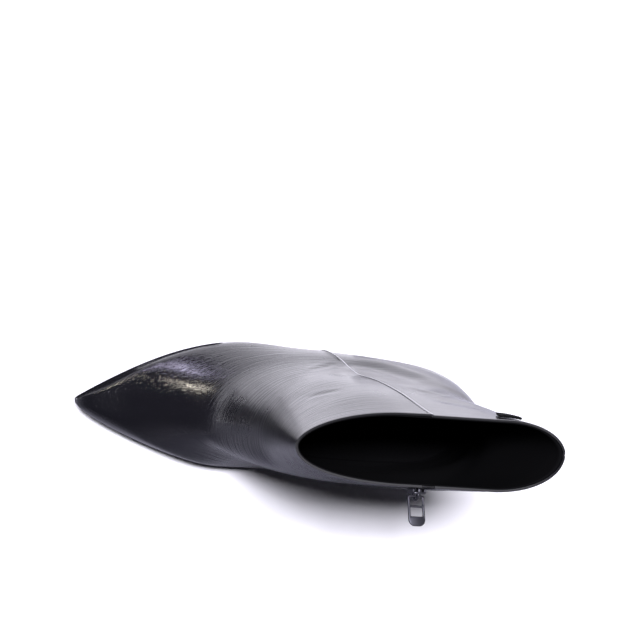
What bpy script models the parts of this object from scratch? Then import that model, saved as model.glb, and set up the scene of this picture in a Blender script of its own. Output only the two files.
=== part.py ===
"""Ankle boot, right foot: pointed toe, slim heel, slack flattened shaft, zip on the medial side.

Lengths below are in millimetres. While the pieces are made, x runs from the back of the heel to the toe,
+y is the medial side and z = 0 is the floor. An empty then carries all pieces to the middle of the footprint.
"""
import math
from collections import namedtuple

import bmesh
import bpy
import numpy as np
from mathutils import Matrix, Vector

MM = 0.001
GAP = 0.3

# Driving dimensions of the last and the shaft
LENGTH = 245.0
HEEL_SEAT = 62.0
BALL_X = 149.0
WAIST_X = 89.0
HEEL_X = 34.0
BALL_LATERAL, BALL_MEDIAL = 43.2, 39.2
WAIST_LATERAL, WAIST_MEDIAL = 39.0, 36.5
HEEL_LATERAL, HEEL_MEDIAL = 36.0, 30.0
ANKLE_LATERAL, ANKLE_MEDIAL = 27.0, 33.0
COLLAR_LATERAL, COLLAR_MEDIAL = 16.0, 21.0
COLLAR_FRONT_X, COLLAR_FRONT_Z = 123.5, 179.5
COLLAR_BACK_X, COLLAR_BACK_Z = -14.0, 192.5
COLLAR_LEAN = 4.5
LEAN_FROM_Z, LEAN_FULL_Z = 80.0, 190.0
TOE_UNDERSIDE = 12.0
TOE_SWING, TOE_SWING_X = 1.0, 140.0
TOE_NOSE = 6.5
BALL_RIDGE_Z = 44.5
BEND_X, BEND_Z = 156.0, 55.5
INSTEP_X, INSTEP_Z = 142.0, 83.5
THROAT_X, THROAT_Z = 132.0, 104.5
INSTEP_RIDGE, COLLAR_RIDGE = 10.0, 3.5
ANKLE_BACK_X, ANKLE_BACK_Z = 4.5, 126.0

# Wall, soles and heel
WALL = 2.0
LAP = 0.6
LAP_FADE = 25.0
LAP_EDGE = 0.6
SOLE_FOREFOOT, SOLE_WAIST, SOLE_SEAT = 4.2, 3.2, 2.6
SOLE_EDGE = 0.8
BALL_UNDERSIDE = SOLE_FOREFOOT + GAP
TREAD_RUN = 16.0
INSOLE_THICK = 2.0
INSOLE_INSET = 2.8
TOE_INSET_RATIO = 1.8
TOP_PIECE = 5.0
TOP_PIECE_CHAMFER = 0.6

# Zip, slider, pull tab and side tab
ZIP_LOW_V = 0.30
ZIP_SLOT = 6.4
ZIP_TAPE = 1.4
SLIDER_V = 0.955
SLIDER_WIDE, SLIDER_LONG, SLIDER_THICK = 7.6, 10.0, 2.6
SLIDER_ROUND = 0.8
BRIDGE_RADIUS, BRIDGE_WIRE, BRIDGE_ROOT = 3.0, 0.6, 1.0
PIVOT_RISE = 1.3
PULL_LONG, PULL_WIDE, PULL_THICK = 16.0, 9.4, 1.2
PULL_BAR = 1.1
PULL_ROUND, PULL_END_ROUND, PULL_INNER_ROUND = 1.4, 3.4, 0.6
PULL_EYE, PULL_WINDOW = 4.2, 4.6
PULL_FROM_UP_DEG = 78.0
TAB_V = (0.964, 0.984)
TAB_X = (8.0, 20.0)
TAB_THICK = 1.3

# Mesh density
ROWS = 23
BACK_COLUMNS, FRONT_COLUMNS = 10, 20
SOLE_COLUMNS = 30
HEEL_COLUMNS = 12
TAB_STEPS = 4
ARC_STEPS = 4

LATERAL, MEDIAL = -1.0, 1.0

Profile = namedtuple("Profile", "v front_x front_z back_x back_z follow seam_x ridge_y")
Widths = namedtuple("Widths", "v heel waist ball front_run front_power back_run")
Ends = namedtuple("Ends", "toe_run toe_power toe_bow counter_run collar_run")
Slack = namedtuple("Slack", "hollow fullness")
HeelSection = namedtuple("HeelSection", "drop back_x breast_x half_width")


def halfway(a, b):
    return 0.5 * (a + b)


def profile_rows():
    """Side view of the upper: both ends of each loop, how far it follows the bottom line, and its seam.

    The last column says how far the front of the loop, the ridge of the foot, lies to the medial side.
    """
    seat, ridge = HEEL_SEAT, INSTEP_RIDGE
    shaft_x, shaft_z = halfway(THROAT_X, COLLAR_FRONT_X), halfway(THROAT_Z, COLLAR_FRONT_Z)
    shaft_back_x = ANKLE_BACK_X + 0.42 * (COLLAR_BACK_X - ANKLE_BACK_X)
    shaft_back_z = halfway(ANKLE_BACK_Z, COLLAR_BACK_Z)
    return [
        Profile(0.00, LENGTH, TOE_UNDERSIDE, 5, seat, 1, 102, 0),
        Profile(0.07, LENGTH + 0.5, TOE_UNDERSIDE + 4, 2, seat + 6, 1, 101, 0),
        Profile(0.16, LENGTH - 8, TOE_UNDERSIDE + 11, 0, seat + 14, 1, 99, 0),
        Profile(0.28, LENGTH - 36, TOE_UNDERSIDE + 16.5, 0, seat + 22, 1, 96, 0.15 * ridge),
        Profile(0.40, BALL_X + 27, BALL_RIDGE_Z, 1, seat + 31, 1, 92, 0.6 * ridge),
        Profile(0.52, BEND_X, BEND_Z, 2.2, seat + 41, 0.9, 87, ridge),
        Profile(0.64, INSTEP_X, INSTEP_Z, 3.6, seat + 52, 0.65, 81, ridge),
        Profile(0.76, THROAT_X, THROAT_Z, ANKLE_BACK_X, ANKLE_BACK_Z, 0.3, 73, 0.8 * ridge),
        Profile(0.88, shaft_x, shaft_z, shaft_back_x, shaft_back_z, 0, 63.5, 0.6 * ridge),
        Profile(1.00, COLLAR_FRONT_X, COLLAR_FRONT_Z, COLLAR_BACK_X, COLLAR_BACK_Z, 0, 55, COLLAR_RIDGE),
    ]


def width_rows(heel, waist, ball, ankle, collar, ends, slack):
    """Top view of one side of the upper: half-widths of each loop and the length of its end roundings."""
    hollow, full = slack
    lower, upper, shaft = halfway(heel, ankle), halfway(waist, ankle), halfway(ankle, collar)
    toe, power, counter, corner = ends.toe_run, ends.toe_power, ends.counter_run, ends.collar_run
    return [
        Widths(0.00, heel - 3, waist - 7, ball - 4, toe, power, counter),
        Widths(0.07, heel - 1, waist - 3, ball - 1, toe, power + 0.02, counter),
        Widths(0.16, heel, waist, ball, toe - 4, power + 0.10, counter),
        Widths(0.28, heel, waist + 1, ball - 3, toe - 30, 1.60, counter),
        Widths(0.40, heel - 1, waist - 0.25 * hollow, ball - 8 - 0.25 * hollow, 65, 1.50, counter + 1),
        Widths(0.52, heel - 2, waist - 1 - hollow, waist - 1 - hollow, 56.5, 2.30, counter + 2),
        Widths(0.64, lower, upper - hollow, upper - hollow, 47.5, 2.30, counter + 3),
        Widths(0.76, ankle, ankle, ankle, 41.5, 2.10, counter + 4),
        Widths(0.88, shaft, shaft + full, shaft + full, 55, 2.00, halfway(counter, corner)),
        Widths(1.00, collar, collar, collar, 55, 2.00, corner),
    ]


HEEL_SECTIONS = [
    HeelSection(0.00, 6.0, 57.0, 26.0),
    HeelSection(0.12, 6.5, 49.0, 24.0),
    HeelSection(0.30, 8.0, 42.0, 19.5),
    HeelSection(0.60, 11.5, 37.0, 14.0),
    HeelSection(1.00, 15.0, 37.0, 11.5),
]


def monotone(xs, ys, x):
    """Smooth curve through the points (xs, ys) that never overshoots them, read at x."""
    xs, ys = np.asarray(xs, float), np.asarray(ys, float)
    step = np.diff(xs)
    slope = np.diff(ys) / step
    tangent = np.zeros(len(xs))
    tangent[0], tangent[-1] = slope[0], slope[-1]
    for i in range(1, len(xs) - 1):
        if slope[i - 1] * slope[i] > 0:
            before, after = 2 * step[i] + step[i - 1], step[i] + 2 * step[i - 1]
            tangent[i] = (before + after) / (before / slope[i - 1] + after / slope[i])
    x = np.clip(x, xs[0], xs[-1])
    i = np.clip(np.searchsorted(xs, x) - 1, 0, len(xs) - 2)
    t = (x - xs[i]) / step[i]
    rise = (3 - 2 * t) * t**2
    start_bow, end_bow = t * (1 - t) ** 2, -(t**2) * (1 - t)
    bow = (start_bow * tangent[i] + end_bow * tangent[i + 1]) * step[i]
    return ys[i] + (ys[i + 1] - ys[i]) * rise + bow


def smooth(start, end, x):
    t = np.clip((x - start) / (end - start), 0, 1)
    return t * t * (3 - 2 * t)


def bottom_line(x):
    """Height of the last's underside: heel seat, arch, flat tread at the ball and toe spring."""
    seat, ball, toe_mid = HEEL_SEAT, BALL_UNDERSIDE, halfway(BALL_X, LENGTH)
    xs = [-12, 4, 50, 0.58 * BALL_X, 0.82 * BALL_X, BALL_X, BALL_X + TREAD_RUN, toe_mid + 8, LENGTH]
    zs = [seat + 1, seat, 0.87 * seat, 0.5 * seat, 0.13 * seat + 3, ball, ball, ball + 2, TOE_UNDERSIDE]
    return monotone(xs, zs, x)


def sole_thickness(x):
    return monotone([40, WAIST_X, BALL_X - 12], [SOLE_SEAT, SOLE_WAIST, SOLE_FOREFOOT], x)


def column(rows, name, v):
    return monotone([row.v for row in rows], [getattr(row, name) for row in rows], v)


PROFILE = profile_rows()
ENDS = {LATERAL: Ends(112, 0.82, 1.86, 46, 28), MEDIAL: Ends(90, 1.16, 1.30, 34, 36)}
SLACK = {LATERAL: Slack(5.7, 3.0), MEDIAL: Slack(0.0, 0.0)}
WIDTHS = {
    LATERAL: width_rows(
        HEEL_LATERAL, WAIST_LATERAL, BALL_LATERAL, ANKLE_LATERAL, COLLAR_LATERAL,
        ENDS[LATERAL], SLACK[LATERAL],
    ),
    MEDIAL: width_rows(
        HEEL_MEDIAL, WAIST_MEDIAL, BALL_MEDIAL, ANKLE_MEDIAL, COLLAR_MEDIAL,
        ENDS[MEDIAL], SLACK[MEDIAL],
    ),
}
BALL_WIDEST = {LATERAL: BALL_X - 4.5, MEDIAL: BALL_X + 12}


def loop_ends(v):
    return column(PROFILE, "back_x", v), column(PROFILE, "front_x", v)


def seam_share(v):
    """Share of the loop's length, from the back, at which the side seam and the zip cross it."""
    back, front = loop_ends(v)
    return (column(PROFILE, "seam_x", v) - back) / (front - back)


def half_width(v, x, side, inset=0.0):
    """Distance of the wall from the middle line, for the outside or for an outline inset from it."""
    rows = WIDTHS[side]
    heel, waist, ball = (column(rows, name, v) for name in ("heel", "waist", "ball"))
    back, front = loop_ends(v)
    back, front = back + inset, front - TOE_INSET_RATIO * inset
    wide = heel + (waist - heel) * smooth(HEEL_X, WAIST_X, x)
    wide = wide + (ball - waist) * smooth(WAIST_X, BALL_WIDEST[side], x) - inset
    to_back = 1 - np.clip((x - back) / column(rows, "back_run", v), 0, 1)
    pointed = 1 - smooth(0.2, 0.4, v)
    ahead = np.clip(front - x, 0, None)
    ahead = np.sqrt(ahead**2 + 2 * TOE_NOSE * pointed * ahead)
    to_front = 1 - np.clip(ahead / column(rows, "front_run", v), 0, 1)
    back_round = np.sqrt(1 - to_back**2)
    bow = 2 - (2 - ENDS[side].toe_bow) * pointed
    front_round = (1 - to_front**bow) ** (1 / column(rows, "front_power", v))
    return wide * back_round * front_round


def middle_line(x, z):
    swing = TOE_SWING * np.clip((x - TOE_SWING_X) / (LENGTH - TOE_SWING_X), 0, 1) ** 2
    return swing + COLLAR_LEAN * smooth(LEAN_FROM_Z, LEAN_FULL_Z, z)


def ridge_shift(v, x):
    """How far the front of a loop leans to the medial side, fading towards its sides."""
    front = loop_ends(v)[1]
    near = np.clip(1 - (front - x) / column(WIDTHS[MEDIAL], "front_run", v), 0, 1)
    return column(PROFILE, "ridge_y", v) * near**2


def wall_point(v, share, side):
    """Point on the outside of the upper: v from feather line to collar, share from back to front."""
    back, front = loop_ends(v)
    x = back + (front - back) * share
    back_z, front_z = column(PROFILE, "back_z", v), column(PROFILE, "front_z", v)
    rise_back, rise_front = back_z - bottom_line(back), front_z - bottom_line(front)
    along_bottom = bottom_line(x) + rise_back + (rise_front - rise_back) * share
    straight = back_z + (front_z - back_z) * share
    z = straight + column(PROFILE, "follow", v) * (along_bottom - straight)
    wide = half_width(v, x, side)
    if side == LATERAL:
        ahead = x - column(PROFILE, "seam_x", v)
        lap = np.where(ahead > -0.01, LAP * np.exp(-ahead / LAP_FADE), 0)
        wide = wide + lap * smooth(0, 0.1, 1 - share)
    return np.stack([x, middle_line(x, z) + ridge_shift(v, x) + side * wide, z], -1)


def wall_normal(v, share, side):
    """Outward unit normal of the upper's outside."""
    dv, ds = 1e-3, 1e-3
    low, high = np.clip(v - dv, 0, 1), np.clip(v + dv, 0, 1)
    up = wall_point(high, share, side) - wall_point(low, share, side)
    along = wall_point(v, share + ds, side) - wall_point(v, share - ds, side)
    normal = np.cross(along, up) * -side
    return normal / np.linalg.norm(normal, axis=-1, keepdims=True)


def column_shares(v, side):
    """Columns of the mesh on one side: two of them run beside the seam, the ends are closer set."""
    back, front = loop_ends(v)
    seam, length = seam_share(v), front - back
    if side == MEDIAL:
        before, after = seam - 0.5 * ZIP_SLOT / length, seam + 0.5 * ZIP_SLOT / length
    else:
        before, after = seam - LAP_EDGE / length, seam
    even_back, even_front = np.linspace(0, 1, BACK_COLUMNS + 1), np.linspace(0, 1, FRONT_COLUMNS + 1)
    pointed = 0.2 * (1 - smooth(0.1, 0.4, v))
    close_back = 1 - np.cos(0.5 * math.pi * even_back)
    close_front = np.sin(0.5 * math.pi * even_front)
    close_front = close_front + pointed * (even_front - close_front)
    return np.concatenate([before * close_back, after + (1 - after) * close_front])


def new_object(name, mesh, material):
    obj = bpy.data.objects.new(name, mesh)
    mesh.materials.append(material)
    PARTS.objects.link(obj)
    obj.parent = CARRIER
    return obj


def finish_material(name, colour, roughness, metallic=0.0):
    material = bpy.data.materials.new(name)
    material.use_nodes = True
    shader = material.node_tree.nodes["Principled BSDF"]
    shader.inputs["Base Color"].default_value = (*colour, 1.0)
    shader.inputs["Roughness"].default_value = roughness
    shader.inputs["Metallic"].default_value = metallic
    return material


def smooth_mesh(name, bm, sharp_deg=40.0):
    mesh = bpy.data.meshes.new(name)
    bm.to_mesh(mesh)
    bm.free()
    mesh.shade_smooth()
    mesh.set_sharp_from_angle(angle=math.radians(sharp_deg))
    return mesh


def add_solidify(obj, thickness, offset):
    shell = obj.modifiers.new("wall", "SOLIDIFY")
    shell.thickness = thickness * MM
    shell.offset = offset
    shell.use_quality_normals = True


def make_upper(material):
    """Open surface of loops from the feather line to the collar, thickened inwards to the leather's wall."""
    bm = bmesh.new()
    side_columns = BACK_COLUMNS + FRONT_COLUMNS + 1
    zip_cell = BACK_COLUMNS
    grid = []
    levels = np.linspace(0, 1, ROWS)
    zip_row = int(np.argmin(np.abs(levels - ZIP_LOW_V)))
    for v in levels:
        lateral = wall_point(v, column_shares(v, LATERAL), LATERAL)
        medial = wall_point(v, column_shares(v, MEDIAL), MEDIAL)
        ring = np.concatenate([lateral, medial[-2:0:-1]])
        grid.append([bm.verts.new(point * MM) for point in ring])
    count = 2 * side_columns
    slot = count - zip_cell - 1
    for i in range(ROWS - 1):
        for j in range(count):
            if j == slot and i >= zip_row:
                continue
            k = (j + 1) % count
            bm.faces.new((grid[i][j], grid[i][k], grid[i + 1][k], grid[i + 1][j]))
    obj = new_object("upper", smooth_mesh("upper", bm), material)
    add_solidify(obj, WALL, -1.0)
    return obj


def ladder_solid(name, rings, material):
    """Closed solid of stacked outlines, each a lateral and a medial edge with points opposite each other."""
    bm = bmesh.new()
    layers = []
    for lateral, medial in rings:
        pointed = np.allclose(lateral[-1], medial[-1])
        last = -2 if pointed else -1
        outline = np.concatenate([lateral, medial[last:0:-1]])
        layers.append([bm.verts.new(point * MM) for point in outline])
    count, steps = len(layers[0]), len(rings[0][0]) - 1
    for low, high in zip(layers, layers[1:]):
        for j in range(count):
            k = (j + 1) % count
            bm.faces.new((low[j], low[k], high[k], high[j]))
    for layer, flip in ((layers[0], True), (layers[-1], False)):
        for j in range(steps):
            across = [layer[j], layer[j + 1], layer[(count - j - 1) % count], layer[(count - j) % count]]
            corners = list(dict.fromkeys(across))
            bm.faces.new(corners[::-1] if flip else corners)
    return new_object(name, smooth_mesh(name, bm), material)


def sole_ring(grow, height):
    """Feather line of the last, grown sideways, at the height that a function of x gives."""
    even = np.linspace(0, 1, SOLE_COLUMNS + 1)
    share = halfway(even, halfway(1, -np.cos(math.pi * even)))
    back, front = loop_ends(0.0)
    x = back + (front - back) * share
    middle = halfway(back, front)
    reach = 1 + 2 * grow / (front - back)
    edges = []
    for side in (LATERAL, MEDIAL):
        wide = half_width(0.0, x, side) * (1 + grow / BALL_LATERAL)
        grown_x = middle + (x - middle) * reach
        edges.append(np.stack([grown_x, middle_line(x, 0) + side * wide, height(grown_x)], -1))
    return edges


def make_outsole(material):
    def underside(x):
        return bottom_line(x) - GAP - sole_thickness(x)

    rings = [
        sole_ring(0.0, underside),
        sole_ring(SOLE_EDGE, lambda x: underside(x) + SOLE_EDGE),
        sole_ring(SOLE_EDGE, lambda x: bottom_line(x) - GAP - SOLE_EDGE),
        sole_ring(0.0, lambda x: bottom_line(x) - GAP),
    ]
    return ladder_solid("outsole", rings, material)


def make_insole(material):
    even = np.linspace(0, 1, SOLE_COLUMNS + 1)
    share = halfway(even, halfway(1, -np.cos(math.pi * even)))
    back, front = loop_ends(0.0)
    back, front = back + INSOLE_INSET, front - TOE_INSET_RATIO * INSOLE_INSET
    x = back + (front - back) * share
    rings = []
    for rise in (0.0, INSOLE_THICK):
        edges = []
        for side in (LATERAL, MEDIAL):
            wide = half_width(0.0, x, side, INSOLE_INSET)
            edges.append(np.stack([x, middle_line(x, 0) + side * wide, bottom_line(x) + rise], -1))
        rings.append(edges)
    return ladder_solid("insole", rings, material)


def heel_ring(section, height, shrink=0.0):
    """One outline of the heel: round at the back, straight across at the breast."""
    share = np.linspace(0, 1, HEEL_COLUMNS + 1) ** 1.6
    back, breast = section.back_x + shrink, section.breast_x - shrink
    x = back + (breast - back) * share
    wide = (section.half_width - shrink) * (1 - (1 - share) ** 2.4) ** 0.55
    return [np.stack([x, side * wide, height(x)], -1) for side in (LATERAL, MEDIAL)]


def make_heel(material):
    tip_z = TOP_PIECE + GAP

    def seat_z(x):
        return bottom_line(x) - sole_thickness(x) - 2 * GAP

    drops = np.linspace(1, 0, 2 * len(HEEL_SECTIONS))
    rings = []
    for drop in drops:
        columns = {
            name: monotone([s.drop for s in HEEL_SECTIONS], [getattr(s, name) for s in HEEL_SECTIONS], drop)
            for name in ("back_x", "breast_x", "half_width")
        }
        section = HeelSection(drop, **columns)
        rings.append(heel_ring(section, lambda x, d=drop: seat_z(x) + (tip_z - seat_z(x)) * d))
    return ladder_solid("heel", rings, material)


def make_top_piece(material):
    tip, edge = HEEL_SECTIONS[-1], TOP_PIECE_CHAMFER
    rings = [
        heel_ring(tip, lambda x: 0 * x, edge),
        heel_ring(tip, lambda x: 0 * x + edge),
        heel_ring(tip, lambda x: 0 * x + TOP_PIECE),
    ]
    return ladder_solid("heel_top_piece", rings, material)


def patch(name, levels, shares, side, lift, thickness, material):
    """Thin piece lying on the upper: cut from the upper's own surface, lifted off it and thickened."""
    bm = bmesh.new()
    grid = []
    for v, row in zip(levels, shares):
        points = wall_point(v, row, side) + lift * wall_normal(v, row, side)
        grid.append([bm.verts.new(point * MM) for point in points])
    for low, high in zip(grid, grid[1:]):
        for j in range(len(low) - 1):
            corners = (low[j], low[j + 1], high[j + 1], high[j])
            bm.faces.new(corners if side == LATERAL else corners[::-1])
    obj = new_object(name, smooth_mesh(name, bm), material)
    add_solidify(obj, abs(thickness), math.copysign(1.0, thickness))
    return obj


def make_zip_tape(material):
    levels = np.linspace(0, 1, ROWS)
    levels = levels[int(np.argmin(np.abs(levels - ZIP_LOW_V))):].copy()
    levels[0] += 0.006
    shares = []
    for v in levels:
        back, front = loop_ends(v)
        reach = (0.5 * ZIP_SLOT - GAP) / (front - back)
        shares.append(seam_share(v) + reach * np.linspace(-1, 1, 3))
    return patch("zip_tape", levels, shares, MEDIAL, -GAP, -ZIP_TAPE, material)


def make_side_tab(material):
    levels = np.linspace(*TAB_V, TAB_STEPS + 1)
    shares = []
    for v in levels:
        back, front = loop_ends(v)
        shares.append((np.linspace(*TAB_X, TAB_STEPS + 1) - back) / (front - back))
    return patch("side_tab", levels, shares, LATERAL, GAP, TAB_THICK, material)


def slider_frame():
    """Place of the slider on the zip and its directions: across the zip, up the zip and out of the wall."""
    share = seam_share(SLIDER_V)
    place = Vector(wall_point(SLIDER_V, share, MEDIAL))
    out = Vector(wall_normal(SLIDER_V, share, MEDIAL))
    higher = Vector(wall_point(SLIDER_V + 0.02, seam_share(SLIDER_V + 0.02), MEDIAL))
    up = higher - place
    up = (up - out * up.dot(out)).normalized()
    return place, up.cross(out), up, out


def placed(origin, across, up, out):
    """Matrix that sets a piece drawn with x across, y up and z out at an origin in millimetres."""
    turn = Matrix((across, up, out)).transposed().to_4x4()
    return Matrix.Translation(origin * MM) @ turn


def join_by_union(name, objects):
    """One closed mesh from overlapping objects."""
    base = objects[0]
    for other in objects[1:]:
        union = base.modifiers.new("join", "BOOLEAN")
        union.operation = "UNION"
        union.object = other
    bpy.context.view_layer.update()
    evaluated = base.evaluated_get(bpy.context.evaluated_depsgraph_get())
    mesh = bpy.data.meshes.new_from_object(evaluated)
    for obj in objects:
        bpy.data.objects.remove(obj)
    mesh.name = name
    mesh.materials.clear()
    return mesh


def make_bridge():
    """Arch over the slider body: the upper part of a ring, closed where it is cut off inside the body."""
    bpy.ops.mesh.primitive_torus_add(
        major_radius=BRIDGE_RADIUS * MM, minor_radius=BRIDGE_WIRE * MM, major_segments=24, minor_segments=8
    )
    bridge = bpy.context.object
    bridge.data.transform(Matrix.Rotation(math.pi / 2, 4, "Y"))
    bm = bmesh.new()
    bm.from_mesh(bridge.data)
    everything = bm.verts[:] + bm.edges[:] + bm.faces[:]
    root = (0, 0, -BRIDGE_ROOT * MM)
    bmesh.ops.bisect_plane(bm, geom=everything, plane_co=root, plane_no=(0, 0, -1), clear_outer=True)
    bmesh.ops.holes_fill(bm, edges=bm.edges)
    bmesh.ops.recalc_face_normals(bm, faces=bm.faces)
    bm.to_mesh(bridge.data)
    bm.free()
    bridge.data.transform(Matrix.Translation((0, 0, 0.5 * SLIDER_THICK * MM)))
    return bridge


def make_slider(material):
    """Slider body with its arched bridge, clear of the zip."""
    bpy.ops.mesh.primitive_cube_add(size=1.0)
    body = bpy.context.object
    body.data.transform(Matrix.Diagonal((SLIDER_WIDE * MM, SLIDER_LONG * MM, SLIDER_THICK * MM, 1)))
    bevel = body.modifiers.new("round", "BEVEL")
    bevel.width = SLIDER_ROUND * MM
    bevel.segments = 2
    mesh = join_by_union("zip_slider", [body, make_bridge()])
    obj = new_object("zip_slider", mesh, material)
    place, across, up, out = slider_frame()
    obj.matrix_local = placed(place + out * (GAP + 0.5 * SLIDER_THICK), across, up, out)
    return obj


def rounded_outline(curve, centre_y, wide, long, top_radius, end_radius):
    """Closed outline of a rectangle with round corners, drawn round (0, centre_y)."""
    points = []
    for quarter in range(4):
        sign_x, sign_y = ((1, 1), (-1, 1), (-1, -1), (1, -1))[quarter]
        radius = top_radius if sign_y > 0 else end_radius
        centre = (sign_x * (0.5 * wide - radius), centre_y + sign_y * (0.5 * long - radius))
        for step in range(ARC_STEPS + 1):
            angle = 0.5 * math.pi * (quarter + step / ARC_STEPS)
            points.append((centre[0] + radius * math.cos(angle), centre[1] + radius * math.sin(angle)))
    spline = curve.splines.new("POLY")
    spline.points.add(len(points) - 1)
    for point, (x, y) in zip(spline.points, points):
        point.co = (x * MM, y * MM, 0, 1)
    spline.use_cyclic_u = True


def make_pull(material):
    """Flat metal tab: hinge bar with an eye for the bridge, an open window and a solid end."""
    curve = bpy.data.curves.new("zip_pull", "CURVE")
    curve.dimensions = "2D"
    curve.fill_mode = "BOTH"
    curve.extrude = 0.5 * PULL_THICK * MM
    top = 0.5 * PULL_BAR
    inner_wide, inner_round = PULL_WIDE - 2 * PULL_BAR, PULL_INNER_ROUND
    rounded_outline(curve, top - 0.5 * PULL_LONG, PULL_WIDE, PULL_LONG, PULL_ROUND, PULL_END_ROUND)
    eye_middle = -top - 0.5 * PULL_EYE
    rounded_outline(curve, eye_middle, inner_wide, PULL_EYE, inner_round, inner_round)
    window_middle = eye_middle - 0.5 * (PULL_EYE + PULL_WINDOW) - PULL_BAR
    rounded_outline(curve, window_middle, inner_wide, PULL_WINDOW, inner_round, inner_round)
    obj = new_object("zip_pull", curve, material)
    place, across, up, out = slider_frame()
    turn = math.radians(PULL_FROM_UP_DEG)
    reach = up * math.cos(turn) + out * math.sin(turn)
    pivot = place + out * (GAP + SLIDER_THICK + PIVOT_RISE)
    obj.matrix_local = placed(pivot, across, -reach, across.cross(-reach))
    return obj


def centre_on_footprint(pieces):
    """Moves the carrier so that the origin is at the middle of the object's box, on the floor."""
    bpy.context.view_layer.update()
    depsgraph = bpy.context.evaluated_depsgraph_get()
    corners = []
    for piece in pieces:
        mesh = bpy.data.meshes.new_from_object(piece.evaluated_get(depsgraph))
        corners += [piece.matrix_world @ vertex.co for vertex in mesh.vertices]
        bpy.data.meshes.remove(mesh)
    low, high = np.min(corners, axis=0), np.max(corners, axis=0)
    CARRIER.location = (-halfway(low[0], high[0]), -halfway(low[1], high[1]), -low[2])
    bpy.context.view_layer.update()


for old in list(bpy.data.objects):
    bpy.data.objects.remove(old)
PARTS = bpy.data.collections.new("ankle_boot")
bpy.context.scene.collection.children.link(PARTS)
CARRIER = bpy.data.objects.new("boot_carrier", None)
PARTS.objects.link(CARRIER)

PATENT = finish_material("black_patent_leather", (0.012, 0.012, 0.015), 0.22)
LINING = finish_material("black_textile_lining", (0.008, 0.008, 0.009), 0.9)
SOLE = finish_material("black_rubber_sole", (0.015, 0.015, 0.016), 0.6)
HEEL = finish_material("black_heel_cover", (0.012, 0.012, 0.014), 0.3)
RUBBER = finish_material("black_top_piece_rubber", (0.02, 0.02, 0.02), 0.7)
TAPE = finish_material("black_zip_tape", (0.012, 0.012, 0.013), 0.8)
GUNMETAL = finish_material("gunmetal_plating", (0.12, 0.12, 0.13), 0.3, 1.0)
WEBBING = finish_material("black_webbing", (0.01, 0.01, 0.011), 0.85)

ALL_PIECES = [
    make_upper(PATENT),
    make_insole(LINING),
    make_outsole(SOLE),
    make_heel(HEEL),
    make_top_piece(RUBBER),
    make_zip_tape(TAPE),
    make_slider(GUNMETAL),
    make_pull(GUNMETAL),
    make_side_tab(WEBBING),
]
centre_on_footprint(ALL_PIECES)
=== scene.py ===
# %% [markdown]
# # A pointed ankle boot in crinkled patent leather
# This lesson dresses a finished construction model: a right ankle boot with a pointed toe, a slim covered
# heel and a slack, flattened shaft with a zip on the inner side. The construction comes in as a frame that
# stays where it is, so every piece made here is laid on it by the same sizes. The heel is hidden in the
# photograph, and its form and height are chosen.

# %% Load the frame
import math
from collections import namedtuple

import bmesh
import bpy
import numpy as np
from mathutils import Matrix, Vector


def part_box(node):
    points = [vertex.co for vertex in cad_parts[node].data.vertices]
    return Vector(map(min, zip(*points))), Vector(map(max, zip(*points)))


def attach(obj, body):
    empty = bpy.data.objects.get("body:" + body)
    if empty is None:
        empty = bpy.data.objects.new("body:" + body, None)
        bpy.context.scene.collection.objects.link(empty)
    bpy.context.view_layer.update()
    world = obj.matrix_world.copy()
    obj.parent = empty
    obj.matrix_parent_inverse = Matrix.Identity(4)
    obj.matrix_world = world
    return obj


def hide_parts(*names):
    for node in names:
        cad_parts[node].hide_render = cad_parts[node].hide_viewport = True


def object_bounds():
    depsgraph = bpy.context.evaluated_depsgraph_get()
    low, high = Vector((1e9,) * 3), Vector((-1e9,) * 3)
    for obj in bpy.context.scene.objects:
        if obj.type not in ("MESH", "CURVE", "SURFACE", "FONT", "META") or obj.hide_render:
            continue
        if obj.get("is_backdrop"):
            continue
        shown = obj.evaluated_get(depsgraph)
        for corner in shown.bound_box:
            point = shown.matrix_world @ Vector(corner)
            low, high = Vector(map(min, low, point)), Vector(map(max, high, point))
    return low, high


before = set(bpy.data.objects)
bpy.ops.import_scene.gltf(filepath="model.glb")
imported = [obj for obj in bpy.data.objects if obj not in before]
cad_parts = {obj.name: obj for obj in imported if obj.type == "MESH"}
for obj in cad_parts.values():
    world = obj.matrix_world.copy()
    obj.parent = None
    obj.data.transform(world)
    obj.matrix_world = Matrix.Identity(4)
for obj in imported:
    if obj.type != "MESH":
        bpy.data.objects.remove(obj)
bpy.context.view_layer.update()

MM = 0.001
print("nodes in the frame:", sorted(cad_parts))

# %% [markdown]
# ## The last
# A shoemaker works over a last, a solid foot form, and all panels of the upper lie on it. Here the last is
# a function: it takes a level v, from the feather line at 0 to the collar at 1, and a share of the way from
# the back to the front, and gives a point. One function for all pieces keeps leather, lining, zip and tab
# on the same surface. The sizes are the ones that the construction was made with, in millimetres, with x
# from the back of the heel to the toe, +y to the inner (medial) side and z up from the floor.

# %% Sizes of the last and the shaft
LENGTH, HEEL_SEAT = 245.0, 62.0
HEEL_X, WAIST_X, BALL_X = 34.0, 89.0, 149.0
COLLAR_FRONT_X, COLLAR_FRONT_Z = 123.5, 179.5
COLLAR_BACK_X, COLLAR_BACK_Z = -14.0, 192.5
THROAT_X, THROAT_Z = 132.0, 104.5
ANKLE_BACK_X, ANKLE_BACK_Z = 4.5, 126.0
TOE_UNDERSIDE, TREAD_RUN = 12.0, 16.0
TOE_SWING, TOE_SWING_X, TOE_NOSE = 1.0, 140.0, 6.5
INSTEP_RIDGE, COLLAR_RIDGE = 10.0, 3.5
COLLAR_LEAN, LEAN_FROM_Z, LEAN_FULL_Z = 4.5, 80.0, 190.0
GAP = 0.3
SOLE_FOREFOOT, SOLE_WAIST, SOLE_SEAT = 4.2, 3.2, 2.6
LATERAL, MEDIAL = -1.0, 1.0

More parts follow.
